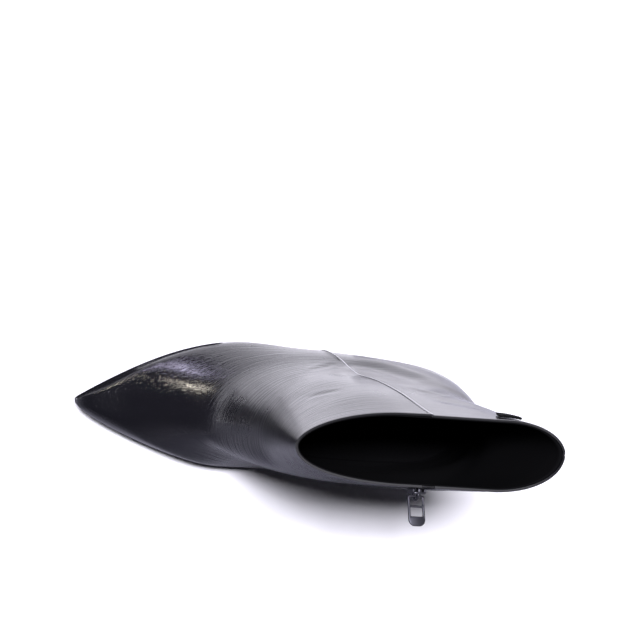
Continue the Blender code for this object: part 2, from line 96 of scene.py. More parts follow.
Side = namedtuple(
    "Side",
    "heel waist ball ankle collar widest_x toe_run toe_power toe_bow counter_run collar_run hollow full",
)
SIDES = {
    LATERAL: Side(36.0, 39.0, 43.2, 27.0, 16.0, BALL_X - 4.5, 112, 0.82, 1.86, 46, 28, 5.7, 3.0),
    MEDIAL: Side(30.0, 36.5, 39.2, 33.0, 21.0, BALL_X + 12, 90, 1.16, 1.30, 34, 36, 0.0, 0.0),
}


def halfway(a, b):
    return 0.5 * (a + b)


def profile_rows():
    """Side view: both ends of each level, how far it follows the bottom line, its seam and its ridge."""
    seat, toe, ridge = HEEL_SEAT, TOE_UNDERSIDE, INSTEP_RIDGE
    shaft_x, shaft_z = halfway(THROAT_X, COLLAR_FRONT_X), halfway(THROAT_Z, COLLAR_FRONT_Z)
    shaft_back_x = ANKLE_BACK_X + 0.42 * (COLLAR_BACK_X - ANKLE_BACK_X)
    shaft_back_z = halfway(ANKLE_BACK_Z, COLLAR_BACK_Z)
    Profile = namedtuple("Profile", "v front_x front_z back_x back_z follow seam_x ridge_y")
    return [
        Profile(0.00, LENGTH, toe, 5, seat, 1, 102, 0),
        Profile(0.07, LENGTH + 0.5, toe + 4, 2, seat + 6, 1, 101, 0),
        Profile(0.16, LENGTH - 8, toe + 11, 0, seat + 14, 1, 99, 0),
        Profile(0.28, LENGTH - 36, toe + 16.5, 0, seat + 22, 1, 96, 0.15 * ridge),
        Profile(0.40, BALL_X + 27, 44.5, 1, seat + 31, 1, 92, 0.6 * ridge),
        Profile(0.52, 156, 55.5, 2.2, seat + 41, 0.9, 87, ridge),
        Profile(0.64, 142, 83.5, 3.6, seat + 52, 0.65, 81, ridge),
        Profile(0.76, THROAT_X, THROAT_Z, ANKLE_BACK_X, ANKLE_BACK_Z, 0.3, 73, 0.8 * ridge),
        Profile(0.88, shaft_x, shaft_z, shaft_back_x, shaft_back_z, 0, 63.5, 0.6 * ridge),
        Profile(1.00, COLLAR_FRONT_X, COLLAR_FRONT_Z, COLLAR_BACK_X, COLLAR_BACK_Z, 0, 55, COLLAR_RIDGE),
    ]


def width_rows(side):
    """Top view of one side: half-widths of each level and the lengths of its end roundings."""
    s = SIDES[side]
    heel, waist, ball, ankle = s.heel, s.waist, s.ball, s.ankle
    lower, upper, shaft = halfway(heel, ankle), halfway(waist, ankle), halfway(ankle, s.collar)
    toe, power, counter, corner = s.toe_run, s.toe_power, s.counter_run, s.collar_run
    hollow, full = s.hollow, s.full
    Widths = namedtuple("Widths", "v heel waist ball front_run front_power back_run")
    return [
        Widths(0.00, heel - 3, waist - 7, ball - 4, toe, power, counter),
        Widths(0.07, heel - 1, waist - 3, ball - 1, toe, power + 0.02, counter),
        Widths(0.16, heel, waist, ball, toe - 4, power + 0.10, counter),
        Widths(0.28, heel, waist + 1, ball - 3, toe - 30, 1.60, counter),
        Widths(0.40, heel - 1, waist - 0.25 * hollow, ball - 8 - 0.25 * hollow, 65, 1.50, counter + 1),
        Widths(0.52, heel - 2, waist - 1 - hollow, waist - 1 - hollow, 56.5, 2.30, counter + 2),
        Widths(0.64, lower, upper - hollow, upper - hollow, 47.5, 2.30, counter + 3),
        Widths(0.76, ankle, ankle, ankle, 41.5, 2.10, counter + 4),
        Widths(0.88, shaft, shaft + full, shaft + full, 55, 2.00, halfway(counter, corner)),
        Widths(1.00, s.collar, s.collar, s.collar, 55, 2.00, corner),
    ]


PROFILE = profile_rows()
WIDTHS = {side: width_rows(side) for side in SIDES}
print("last:", LENGTH, "mm long,", SIDES[LATERAL].ball + SIDES[MEDIAL].ball, "mm across the ball")

# %% Read the last as a surface
def monotone(xs, ys, x):
    """Smooth curve through the points (xs, ys) that never overshoots them, read at x."""
    xs, ys = np.asarray(xs, float), np.asarray(ys, float)
    step = np.diff(xs)
    slope = np.diff(ys) / step
    tangent = np.zeros(len(xs))
    tangent[0], tangent[-1] = slope[0], slope[-1]
    for i in range(1, len(xs) - 1):
        if slope[i - 1] * slope[i] > 0:
            before, after = 2 * step[i] + step[i - 1], step[i] + 2 * step[i - 1]
            tangent[i] = (before + after) / (before / slope[i - 1] + after / slope[i])
    x = np.clip(x, xs[0], xs[-1])
    i = np.clip(np.searchsorted(xs, x) - 1, 0, len(xs) - 2)
    t = (x - xs[i]) / step[i]
    bow = (t * (1 - t) ** 2 * tangent[i] - t**2 * (1 - t) * tangent[i + 1]) * step[i]
    return ys[i] + (ys[i + 1] - ys[i]) * (3 - 2 * t) * t**2 + bow


def smooth(start, end, x):
    t = np.clip((x - start) / (end - start), 0, 1)
    return t * t * (3 - 2 * t)


def column(rows, name, v):
    return monotone([row.v for row in rows], [getattr(row, name) for row in rows], v)


def bottom_line(x):
    """Height of the last's underside: heel seat, arch, flat tread at the ball and toe spring."""
    seat, ball, toe_mid = HEEL_SEAT, SOLE_FOREFOOT + GAP, halfway(BALL_X, LENGTH)
    xs = [-12, 4, 50, 0.58 * BALL_X, 0.82 * BALL_X, BALL_X, BALL_X + TREAD_RUN, toe_mid + 8, LENGTH]
    zs = [seat + 1, seat, 0.87 * seat, 0.5 * seat, 0.13 * seat + 3, ball, ball, ball + 2, TOE_UNDERSIDE]
    return monotone(xs, zs, x)


def sole_thickness(x):
    return monotone([40, WAIST_X, BALL_X - 12], [SOLE_SEAT, SOLE_WAIST, SOLE_FOREFOOT], x)


def loop_ends(v):
    return column(PROFILE, "back_x", v), column(PROFILE, "front_x", v)


SEAM_SWING = 5.4


def seam_x(v, side):
    """Where the seam of the outer side or the zip of the inner side crosses a level."""
    return column(PROFILE, "seam_x", v) - (SEAM_SWING * (1 - smooth(0.4, 0.8, v)) if side == LATERAL else 0)


def seam_share(v, side):
    back, front = loop_ends(v)
    return (seam_x(v, side) - back) / (front - back)


def half_width(v, x, side, inset=0.0):
    """Distance of the wall from the middle line, or of an outline inset from it."""
    rows, s = WIDTHS[side], SIDES[side]
    heel, waist, ball = (column(rows, name, v) for name in ("heel", "waist", "ball"))
    back, front = loop_ends(v)
    back, front = back + inset, front - 1.8 * inset
    wide = heel + (waist - heel) * smooth(HEEL_X, WAIST_X, x)
    wide = wide + (ball - waist) * smooth(WAIST_X, s.widest_x, x) - inset
    to_back = 1 - np.clip((x - back) / column(rows, "back_run", v), 0, 1)
    pointed = 1 - smooth(0.2, 0.4, v)
    ahead = np.clip(front - x, 0, None)
    ahead = np.sqrt(ahead**2 + 2 * TOE_NOSE * pointed * ahead)
    to_front = 1 - np.clip(ahead / column(rows, "front_run", v), 0, 1)
    bow = 2 - (2 - s.toe_bow) * pointed
    front_round = (1 - to_front**bow) ** (1 / column(rows, "front_power", v))
    return wide * np.sqrt(1 - to_back**2) * front_round


def middle_line(x, z):
    swing = TOE_SWING * np.clip((x - TOE_SWING_X) / (LENGTH - TOE_SWING_X), 0, 1) ** 2
    return swing + COLLAR_LEAN * smooth(LEAN_FROM_Z, LEAN_FULL_Z, z)


def ridge_shift(v, x):
    """How far the front of a level leans to the medial side, fading towards its sides."""
    near = np.clip(1 - (loop_ends(v)[1] - x) / column(WIDTHS[MEDIAL], "front_run", v), 0, 1)
    return column(PROFILE, "ridge_y", v) * near**2


def wall_point(v, share, side):
    """Point on the outside of the last at level v, a share of the way from the back to the front."""
    back, front = loop_ends(v)
    x = back + (front - back) * share
    back_z, front_z = column(PROFILE, "back_z", v), column(PROFILE, "front_z", v)
    rise_back, rise_front = back_z - bottom_line(back), front_z - bottom_line(front)
    along_bottom = bottom_line(x) + rise_back + (rise_front - rise_back) * share
    straight = back_z + (front_z - back_z) * share
    z = straight + column(PROFILE, "follow", v) * (along_bottom - straight)
    y = middle_line(x, z) + ridge_shift(v, x) + side * half_width(v, x, side)
    return np.stack([x, y, z], -1)


def wall_normal(v, share, side):
    """Outward unit normal of the last."""
    step = 1e-3
    up = wall_point(np.clip(v + step, 0, 1), share, side) - wall_point(np.clip(v - step, 0, 1), share, side)
    along = wall_point(v, share + step, side) - wall_point(v, share - step, side)
    normal = np.cross(along, up) * -side
    return normal / np.linalg.norm(normal, axis=-1, keepdims=True)


# The frame's origin is the middle of the footprint. The collar's back and the heel tip tell how far that is.
upper_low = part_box("upper")[0]
tip_low, tip_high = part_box("heel_top_piece")
SHIFT = np.array([upper_low.x / MM - COLLAR_BACK_X, halfway(tip_low.y, tip_high.y) / MM, 0.0])


def to_frame(points):
    """Points of the last in millimetres as places in the frame in metres."""
    return (np.asarray(points, float) + SHIFT) * MM


print("the frame's origin is at x =", round(-SHIFT[0], 2), "mm from the back of the heel")

# %% [markdown]
# ## Camera
# The photograph looks down into the collar, with the toe to the left and the picture turned a little. The
# camera therefore stands above the boot, leans towards the toe and is rolled. Its place was found from the
# boot's outline in the picture and is written down as angles and a distance in the last's own frame.

# %% Camera above the boot
CAMERA_AT = (196.8, -42.4, 732.4)
LEAN_TO_TOE_DEG, LEAN_TO_MEDIAL_DEG, ROLL_DEG = 8.38, 1.4, 3.82
LENS, SENSOR = 61.96, 36.0

lean_toe, lean_side, roll = (math.radians(a) for a in (LEAN_TO_TOE_DEG, LEAN_TO_MEDIAL_DEG, ROLL_DEG))
backwards = Vector((math.cos(lean_side) * math.sin(lean_toe), math.sin(lean_side), 0))
backwards.z = math.cos(lean_side) * math.cos(lean_toe)
level_up = Vector((0, -1, 0))
level_up = (level_up - backwards * level_up.dot(backwards)).normalized()
level_right = level_up.cross(backwards)
image_right = level_right * math.cos(roll) + level_up * math.sin(roll)
image_up = level_up * math.cos(roll) - level_right * math.sin(roll)

camera_data = bpy.data.cameras.new("photo_camera")
camera_data.lens, camera_data.sensor_width = LENS, SENSOR
camera_data.clip_start, camera_data.clip_end = 0.01, 20.0
camera = bpy.data.objects.new("photo_camera", camera_data)
bpy.context.scene.collection.objects.link(camera)
turn = Matrix((image_right, image_up, backwards)).transposed().to_4x4()
camera.matrix_world = Matrix.Translation(to_frame(CAMERA_AT)) @ turn
bpy.context.scene.camera = camera
print("camera at", [round(c, 4) for c in camera.matrix_world.translation])

# %% [markdown]
# ## Finishes
# Every surface gets a node material. Two helpers are enough: one turns the hex colours that a colour picker
# shows (sRGB) into the linear values that the renderer works with, and one adds a node, sets its sockets
# and links the ones that are fed by another node.

# %% Colour and node helpers
def linear(hex_colour):
    """Linear RGBA of an sRGB colour such as #1A2B3C."""
    channels = [int(hex_colour[i:i + 2], 16) / 255 for i in (1, 3, 5)]
    return (*[c / 12.92 if c <= 0.04045 else ((c + 0.055) / 1.055) ** 2.4 for c in channels], 1.0)


def add_node(tree, kind, sockets=(), **settings):
    """A shader node. A socket given another node's output is linked, any other value is set on it."""
    node = tree.nodes.new("ShaderNode" + kind)
    for name, value in settings.items():
        setattr(node, name, value)
    for name, value in dict(sockets).items():
        if isinstance(value, bpy.types.NodeSocket):
            tree.links.new(value, node.inputs[name])
        else:
            node.inputs[name].default_value = value
    return node


def new_finish(name, base, roughness, **shader_values):
    """A material with its Principled shader set, and its node tree for the pattern."""
    material = bpy.data.materials.new(name)
    material.use_nodes = True
    tree = material.node_tree
    shader = tree.nodes["Principled BSDF"]
    shader.inputs["Base Color"].default_value = linear(base)
    shader.inputs["Roughness"].default_value = roughness
    for socket, value in shader_values.items():
        shader.inputs[socket.replace("_", " ")].default_value = value
    return material, tree, shader


print("black #101014 is", [round(c, 4) for c in linear("#101014")])

# %% [markdown]
# ## Floor and light
# The boot stands on white paper under one far softbox, high up and a little to its outer side, so that the
# shadow falls softly towards the inner side. Glossy black shows what is around it. Grey cards on the paper,
# seen only in the gloss, set the tones of the leather, and their places were found by trying. A pale wall
# low on the inner side softens the horizon, and the room's light is kept off the paper. Two small lamps
# low on the outer side, one pale violet and one warm, draw the crinkled highlights on the toe.

# %% Paper sweep and studio lights
def add_area_light(name, place, target, size, watts, colour="#FFFFFF"):
    data = bpy.data.lights.new(name, "AREA")
    data.shape, data.energy = "RECTANGLE", watts
    data.size, data.size_y = size
    data.color = linear(colour)[:3]
    light = bpy.data.objects.new(name, data)
    light.location = place
    light.rotation_euler = (Vector(place) - Vector(target)).to_track_quat("Z", "Y").to_euler()
    bpy.context.scene.collection.objects.link(light)


FLOOR_HALF, CARD_LIFT = 4.0, 0.001
ROOM_GLOW, WALL_GLOW, ROOM_ON_PAPER = 0.14, 0.42, 0.02
WALL_TOP, WALL_FROM_Y, WALL_FULL_Y = 0.5, -0.7, -0.1
Flag = namedtuple("Flag", "name centre size turn_deg grey")
FLAGS = [
    Flag("inner_near_flag", (0.175, 0.04), (0.65, 0.08), 0.0, "#7E7E86"),
    Flag("inner_far_flag", (0.60, 1.04), (1.50, 1.92), 0.0, "#60606A"),
    Flag("front_flag", (0.95, -0.20), (0.90, 0.56), 0.0, "#A8A8AE"),
    Flag("tip_flag", (0.195, -0.052), (0.19, 0.10), 0.0, "#2A2A2E"),
    Flag("toe_edge_flag", (0.076, -0.034), (0.08, 0.020), 25.0, "#2A2A2E"),
    Flag("quarter_edge_flag", (-0.088, -0.061), (0.075, 0.020), 0.0, "#86868C"),
    Flag("heel_edge_flag", (-0.165, -0.053), (0.09, 0.08), 20.0, "#B4B4BA"),
]
bpy.ops.mesh.primitive_plane_add(size=2 * FLOOR_HALF)
floor = bpy.context.object
floor.name = "paper_floor"
paper = new_finish("matt_white_paper", "#F4F4F5", 0.9)[0]
floor.data.materials.append(paper)
floor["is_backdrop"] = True

world = bpy.data.worlds.new("dim_studio")
world.use_nodes = True
tree = world.node_tree
room = tree.nodes["Background"]
room.inputs["Color"].default_value = linear("#B9B6CC")
backdrop = add_node(tree, "Background", {"Color": linear("#F2F2F4"), "Strength": 1.0})
seen = add_node(tree, "LightPath")
looking = add_node(tree, "SeparateXYZ", {"Vector": add_node(tree, "TexCoord").outputs["Generated"]})
low = add_node(
    tree, "MapRange", {"Value": looking.outputs["Z"], "From Min": WALL_TOP, "From Max": 0.0},
    interpolation_type="SMOOTHSTEP",
)
inner_side = add_node(
    tree, "MapRange",
    {"Value": looking.outputs["Y"], "From Min": WALL_FROM_Y, "From Max": WALL_FULL_Y, "To Min": ROOM_GLOW,
     "To Max": WALL_GLOW},
    interpolation_type="SMOOTHSTEP",
)
walls = add_node(
    tree, "MapRange",
    {"Value": low.outputs["Result"], "To Min": ROOM_GLOW, "To Max": inner_side.outputs["Result"]},
)
glow = add_node(
    tree, "MapRange",
    {"Value": seen.outputs["Is Diffuse Ray"], "To Min": walls.outputs["Result"], "To Max": ROOM_ON_PAPER},
)
tree.links.new(glow.outputs["Result"], room.inputs["Strength"])
either = add_node(tree, "MixShader", {"Fac": seen.outputs["Is Camera Ray"]})
tree.links.new(room.outputs["Background"], either.inputs[1])
tree.links.new(backdrop.outputs["Background"], either.inputs[2])
tree.links.new(either.outputs["Shader"], tree.nodes["World Output"].inputs["Surface"])
bpy.context.scene.world = world
bpy.context.scene.view_settings.view_transform = "Standard"

for flag in FLAGS:
    bpy.ops.mesh.primitive_plane_add(
        size=1.0, location=(*flag.centre, CARD_LIFT), rotation=(0, 0, math.radians(flag.turn_deg))
    )
    card = bpy.context.object
    card.name, card.scale = flag.name, (*flag.size, 1.0)
    felt = new_finish(flag.name + "_felt", flag.grey, 1.0, Specular_IOR_Level=0.0)[0]
    card.data.materials.append(felt)
    card.visible_camera = card.visible_diffuse = card.visible_shadow = False
    card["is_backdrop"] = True

add_area_light("overhead_softbox", (0.15, -1.85, 7.1), (0.0, 0.0, 0.0), (2.2, 1.25), 1000.0, "#F6F4FF")
add_area_light("side_lamp", (0.467, -0.890, 0.322), (0.07, -0.02, 0.03), (0.22, 0.11), 0.75, "#E6DFFF")
add_area_light("warm_lamp", (0.670, -0.699, 0.431), (0.06, -0.01, 0.04), (0.06, 0.06), 0.50, "#FFF6E6")

# %% [markdown]
# ## Meshes from grids
# Leather, lining, tape and soles are all woven from rows and columns of points, as a maker would draw them
# on the last. One helper turns points and faces into an object and drops points that no face uses, another
# lists the faces of a grid, and a third says what the finished piece rides on and stands for.

# %% Grid helpers
def grid_faces(rows, columns, closed=False):
    """Quads of a grid, as point numbers counted row by row."""
    last = columns if closed else columns - 1
    return [
        (i * columns + j, i * columns + (j + 1) % columns,
         (i + 1) * columns + (j + 1) % columns, (i + 1) * columns + j)
        for i in range(rows - 1) for j in range(last)
    ]


def mesh_object(name, points, faces, material, sharp_deg=40.0):
    """Object of points in the last's millimetres. Points that no face uses are left out."""
    used = sorted({corner for face in faces for corner in face})
    renumber = {old: new for new, old in enumerate(used)}
    mesh = bpy.data.meshes.new(name)
    flat = to_frame(np.reshape(points, (-1, 3)))[used]
    mesh.from_pydata(flat.tolist(), [], [[renumber[c] for c in face] for face in faces])
    mesh.materials.append(material)
    mesh.shade_smooth()
    mesh.set_sharp_from_angle(angle=math.radians(sharp_deg))
    piece = bpy.data.objects.new(name, mesh)
    bpy.context.scene.collection.objects.link(piece)
    return piece, used


def dress(piece, slot, *nodes, body="boot"):
    """The piece moves with a body of the frame and may stand for nodes of the frame. Its slot is not used."""
    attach(piece, body)
    if nodes:
        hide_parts(*nodes)
    print(piece.name, "made,", len(piece.data.polygons), "faces")


print("a grid of 3 by 4 points has", len(grid_faces(3, 4)), "faces")


# %% [markdown]
# ## Patent leather
# Crinkled patent is leather under a film of black lacquer. The film is smooth, so it mirrors like a varnish,
# but it wrinkles with the leather: fine lines run round the shaft where the foot bends it, and the toe has
# a short crinkle. A Principled shader with a coat gives two reflections, a soft one from the grain and a
# clear one from the film. The lines are noise stretched along the surface's own coordinates, in millimetres.
# Two plain finishes go with it: black paint on the cut rims, and pale grey on the lapped panel's edge, a
# painted highlight.

# %% Black crinkled patent leather
STREAK_LONG, STREAK_FINE, STREAK_DEEP = 34.0, 1.5, 0.00032
CRINKLE_LONG, CRINKLE_FINE, CRINKLE_DEEP = 3.2, 1.1, 0.000035
CRINKLE_LOW, CRINKLE_HIGH = 0.36, 0.60
HAZE = 14.0
SLACK_FROM_X, SLACK_FULL_X, SLACK_HAZE, SLACK_CRINKLE = 0.062, 0.018, 0.14, 0.3
SMOOTH_FROM_X, SMOOTH_FULL_X, SMOOTH_STREAKS = 0.005, -0.045, 0.3


def patent_leather(name, base, streaks):
    material, tree, shader = new_finish(
        name, base, 0.25, Coat_Weight=0.8, Coat_Roughness=0.08, Coat_IOR=1.5, Specular_IOR_Level=0.5
    )
    place = add_node(tree, "TexCoord")
    millimetres = add_node(tree, "Mapping", {"Vector": place.outputs["Object"], "Scale": (1 / MM,) * 3})
    along_wall = millimetres.outputs["Vector"]
    if streaks:
        along_wall = add_node(tree, "UVMap", uv_map="wall").outputs["UV"]
    haze = add_node(
        tree, "TexNoise", {"Vector": millimetres.outputs["Vector"], "Scale": 1 / HAZE, "Detail": 2.0}
    )
    gloss = add_node(tree, "MapRange", {"Value": haze.outputs["Fac"], "To Min": 0.10, "To Max": 0.22})
    dull = gloss.outputs["Result"]
    crinkle_map = add_node(
        tree, "Mapping",
        {"Vector": along_wall, "Scale": (1 / CRINKLE_LONG, 1 / CRINKLE_FINE, 1 / CRINKLE_FINE)},
    )
    crinkle = add_node(
        tree, "TexNoise",
        {"Vector": crinkle_map.outputs["Vector"], "Scale": 1.0, "Detail": 3.0, "Distortion": 0.8},
    )
    cracks = add_node(
        tree, "MapRange",
        {"Value": crinkle.outputs["Fac"], "From Min": CRINKLE_LOW, "From Max": CRINKLE_HIGH},
        interpolation_type="SMOOTHSTEP",
    )
    grain = add_node(
        tree, "Bump",
        {"Height": cracks.outputs["Result"], "Strength": SLACK_CRINKLE, "Distance": CRINKLE_DEEP},
    )
    normal = grain.outputs["Normal"]
    if streaks:
        axes = add_node(tree, "SeparateXYZ", {"Vector": place.outputs["Object"]})
        slack = add_node(
            tree, "MapRange", {"Value": axes.outputs["X"], "From Min": SLACK_FROM_X, "From Max": SLACK_FULL_X}
        )
        taut = add_node(
            tree, "MapRange", {"Value": slack.outputs["Result"], "To Min": 1.0, "To Max": SLACK_CRINKLE}
        )
        tree.links.new(taut.outputs["Result"], grain.inputs["Strength"])
        duller = add_node(
            tree, "Math", {0: slack.outputs["Result"], 1: SLACK_HAZE, 2: dull}, operation="MULTIPLY_ADD"
        )
        dull = duller.outputs["Value"]
        streak_map = add_node(
            tree, "Mapping", {"Vector": along_wall, "Scale": (1 / STREAK_LONG, 1 / STREAK_FINE, 1.0)}
        )
        streak = add_node(
            tree, "TexNoise", {"Vector": streak_map.outputs["Vector"], "Scale": 1.0, "Detail": 4.0},
            noise_dimensions="2D",
        )
        fade = add_node(
            tree, "MapRange",
            {"Value": axes.outputs["X"], "From Min": SMOOTH_FULL_X, "From Max": SMOOTH_FROM_X,
             "To Min": SMOOTH_STREAKS},
        )
        strength = add_node(
            tree, "Math", {0: slack.outputs["Result"], 1: fade.outputs["Result"]}, operation="MULTIPLY"
        )
        lines = add_node(
            tree, "Bump",
            {"Height": streak.outputs["Fac"], "Strength": strength.outputs["Value"], "Distance": STREAK_DEEP,
             "Normal": normal},
        )
        normal = lines.outputs["Normal"]
    tree.links.new(dull, shader.inputs["Roughness"])
    tree.links.new(normal, shader.inputs["Normal"])
    tree.links.new(normal, shader.inputs["Coat Normal"])
    return material


PATENT = patent_leather("black_crinkled_patent_leather", "#0D0D11", streaks=True)
EDGE_PAINT = new_finish("black_edge_paint", "#0C0C0E", 0.6, Specular_IOR_Level=0.3)[0]
# The pale grey of the lap's edge is a painted highlight: the line of light that the rounded edge catches.
PAINTED_LAP_HIGHLIGHT = new_finish("painted_highlight_lap_edge", "#D2D2D8", 0.5)[0]
print("finishes:", PATENT.name, EDGE_PAINT.name, PAINTED_LAP_HIGHLIGHT.name)

# %% [markdown]
# ## The upper
# The upper is cut from two panels and pulled over the last. The front panel laps over the back one along a
# seam on the outer side, the inner side is slit for the zip, and a plain seam closes the back. The sheet
# is a fine grid on the last, relaxed a little so that reflections run evenly, then pushed along its normals
# for the lap, the back seam and the creases. Solidify gives it the leather's thickness.

# %% Columns and rows of the upper
LEVELS = 171
BACK_COLUMNS, FRONT_COLUMNS = 40, 84
ZIP_LOW_V = 7 / 22
SEAM_COLUMNS = {
    LATERAL: (-1.8, -0.9, -0.5, -0.25, 0.0, 0.35, 0.9, 1.8),
    MEDIAL: (-4.8, -3.9, -3.2, -1.1, 1.1, 3.2, 3.9, 4.8),
}


def fine_shares(v, side):
    """Columns of one side: set close at the ends and beside the seam or the zip."""
    back, front = loop_ends(v)
    beside = seam_share(v, side) + np.array(SEAM_COLUMNS[side]) / (front - back)
    even_back, even_front = np.linspace(0, 1, BACK_COLUMNS + 1), np.linspace(0, 1, FRONT_COLUMNS + 1)
    close_back = 1 - np.cos(0.5 * math.pi * even_back)
    close_front = np.sin(0.5 * math.pi * even_front)
    close_front = close_front + 0.3 * (1 - smooth(0.1, 0.4, v)) * (even_front - close_front)
    return np.concatenate([
        beside[0] * close_back[:-1], beside, beside[-1] + (1 - beside[-1]) * close_front[1:]
    ])


def wall_ring(v):
    """One level of the upper: back to front on the lateral side, then front to back on the medial side."""
    lateral = wall_point(v, fine_shares(v, LATERAL), LATERAL)
    medial = wall_point(v, fine_shares(v, MEDIAL), MEDIAL)
    return np.concatenate([lateral, medial[-2:0:-1]])


levels = np.linspace(0, 1, LEVELS)
wall = np.stack([wall_ring(v) for v in levels])
SIDE_COLUMNS = BACK_COLUMNS + len(SEAM_COLUMNS[LATERAL]) + FRONT_COLUMNS
RING = wall.shape[1]
print("upper grid:", LEVELS, "rows of", RING, "points")

# %% Relax the sheet
RELAX_STEPS, BEND_STEPS = 60, 200
FEATHER_FADE, COLLAR_FADE = (0.02, 0.10), (0.95, 0.995)
BEND_FROM, BEND_TO = (0.22, 0.40), (0.62, 0.80)


def sheet_normals(points):
    """Outward unit normals of a sheet of closed rows."""
    along = np.roll(points, -1, 1) - np.roll(points, 1, 1)
    up = np.gradient(points, axis=0)
    normal = np.cross(along, up)
    return normal / (np.linalg.norm(normal, axis=-1, keepdims=True) + 1e-12)


def relax(points, hold, steps, across):
    """Moves points towards their neighbours' middle, along the normal only, where hold is below 1."""
    for _ in range(steps):
        middle = halfway(np.roll(points, 1, 1), np.roll(points, -1, 1))
        vertical = points.copy()
        vertical[1:-1] = halfway(points[:-2], points[2:])
        pull = 0.5 * (across * middle + (1 - across) * vertical - points)
        normal = sheet_normals(points)
        points = points + (1 - hold) * normal * np.sum(pull * normal, -1, keepdims=True)
    return points


hold = (1 - smooth(*FEATHER_FADE, levels) * (1 - smooth(*COLLAR_FADE, levels)))[:, None, None]
relaxed = relax(wall, hold, RELAX_STEPS, across=0.5)
bend = (smooth(*BEND_FROM, levels) * (1 - smooth(*BEND_TO, levels)))[:, None, None]
relaxed = relax(relaxed, 1 - bend, BEND_STEPS, across=0.0)
print("relaxed by up to", round(float(np.abs(relaxed - wall).max()), 2), "mm")

# %% [markdown]
# The creases are listed one by one, each as a short line on the last with a width and a depth. A soft trough
# with a low ridge on both sides reads as a fold of slack leather. Deep folds would tell of wear, and this
# boot looks new, so they stay shallow: the shaft has a few where it lies flat, the quarter some more.

# %% Place the creases
Crease = namedtuple("Crease", "side ends wide depth")
CREASES = [
    Crease(LATERAL, ((0.838, 0.876), (0.85, 0.817), (0.863, 0.75)), 2.2, 0.40),
    Crease(LATERAL, ((0.613, 0.721), (0.57, 0.64), (0.525, 0.565)), 3.0, 0.40),
    Crease(LATERAL, ((0.50, 0.516), (0.525, 0.435), (0.613, 0.371), (0.70, 0.294)), 5.5, 1.2),
    Crease(LATERAL, ((0.812, 0.467), (0.838, 0.371), (0.85, 0.279)), 2.6, 0.55),
    Crease(LATERAL, ((0.745, 0.24), (0.74, 0.16), (0.715, 0.08)), 3.4, 0.45),
    Crease(LATERAL, ((0.88, 0.40), (0.90, 0.28), (0.93, 0.18)), 4.5, 0.40),
    Crease(LATERAL, ((0.40, 0.933), (0.40, 0.897), (0.40, 0.865)), 0.7, 0.15),
    Crease(MEDIAL, ((0.62, 0.55), (0.66, 0.42), (0.72, 0.28)), 5.0, 0.50),
    Crease(MEDIAL, ((0.74, 0.30), (0.80, 0.20), (0.86, 0.12)), 5.0, 0.45),
]


def crease_shift(points, crease):
    """How far a crease pushes each point out: a trough with a ridge on both sides, fading at its ends."""
    ends = np.array(crease.ends)
    t = np.linspace(0, 1, 25)
    v, share = (monotone(np.linspace(0, 1, len(ends)), ends[:, k], t) for k in (0, 1))
    line = np.stack([wall_point(a, b, crease.side) for a, b in zip(v, share)])
    away = np.linalg.norm(points[..., None, :] - line, axis=-1)
    nearest = away.argmin(-1)
    off = away.min(-1) / crease.wide
    fade = np.sin(math.pi * t[nearest]) ** 0.7
    return crease.depth * fade * (0.5 * np.exp(-(((off - 1.8) / 0.9) ** 2)) - np.exp(-(off**2)))


push = sum(crease_shift(relaxed, crease) for crease in CREASES)
print("creases push from", round(float(push.min()), 2), "to", round(float(push.max()), 2), "mm")

# %% Lap, back seam and thickness
LAP, LAP_FADE, LAP_EDGE = 0.6, 25.0, 0.5
BACK_SEAM_WIDE, BACK_SEAM_DEEP = 0.8, 0.35
LEATHER, RIM_ANGLE = 1.25, math.radians(65)
LIP_HIGHLIGHT_SLOT, RIM_SLOT = 1, 2
SLOT_FROM, SLOT_COLUMNS, LIP_FROM = 5, 3, 4

lateral = np.arange(RING) < SIDE_COLUMNS
ahead = relaxed[..., 0] - seam_x(levels, LATERAL)[:, None]
to_front = np.abs(np.arange(RING) - (SIDE_COLUMNS - 1)) / FRONT_COLUMNS
lap = LAP * np.exp(-np.maximum(ahead, 0) / LAP_FADE) * smooth(-LAP_EDGE, 0, ahead)
push = push + np.where(lateral, lap * smooth(0, 0.15, to_front), 0)
from_back = np.linalg.norm(relaxed - relaxed[:, :1], axis=-1) / BACK_SEAM_WIDE
push = push + BACK_SEAM_DEEP * (0.4 * np.exp(-((from_back - 2) ** 2)) - np.exp(-(from_back**2)))
leather = relaxed + push[..., None] * sheet_normals(relaxed)

slot_start = RING - BACK_COLUMNS - SLOT_FROM
zip_row = int(round(ZIP_LOW_V * (LEVELS - 1)))
faces = [
    face for k, face in enumerate(grid_faces(LEVELS, RING, closed=True))
    if not (k // RING >= zip_row and slot_start <= k % RING < slot_start + SLOT_COLUMNS)
]
upper, used = mesh_object("leather_upper", leather, faces, PATENT, sharp_deg=60.0)
# The faces along the lap's top edge take the pale finish, a highlight along the seam painted in.
upper.data.materials.append(PAINTED_LAP_HIGHLIGHT)
upper.data.materials.append(EDGE_PAINT)
lip_column = BACK_COLUMNS + LIP_FROM
for polygon, face in zip(upper.data.polygons, faces):
    if min(c % RING for c in face) == lip_column:
        polygon.material_index = LIP_HIGHLIGHT_SLOT

around = np.cumsum(np.linalg.norm(np.diff(relaxed, axis=1, prepend=relaxed[:, :1]), axis=-1), axis=1)
around = around - around[:, SIDE_COLUMNS - 1:SIDE_COLUMNS]
height = np.cumsum(np.linalg.norm(np.diff(relaxed, axis=0, prepend=relaxed[:1]), axis=-1), axis=0)
height = np.broadcast_to(height.mean(1, keepdims=True), around.shape)
wall_mm = np.stack([around, height], -1).reshape(-1, 2)[used]
uv = upper.data.uv_layers.new(name="wall")
corners = np.zeros(len(upper.data.loops), int)
upper.data.loops.foreach_get("vertex_index", corners)
uv.data.foreach_set("uv", wall_mm[corners].astype(np.float32).ravel())

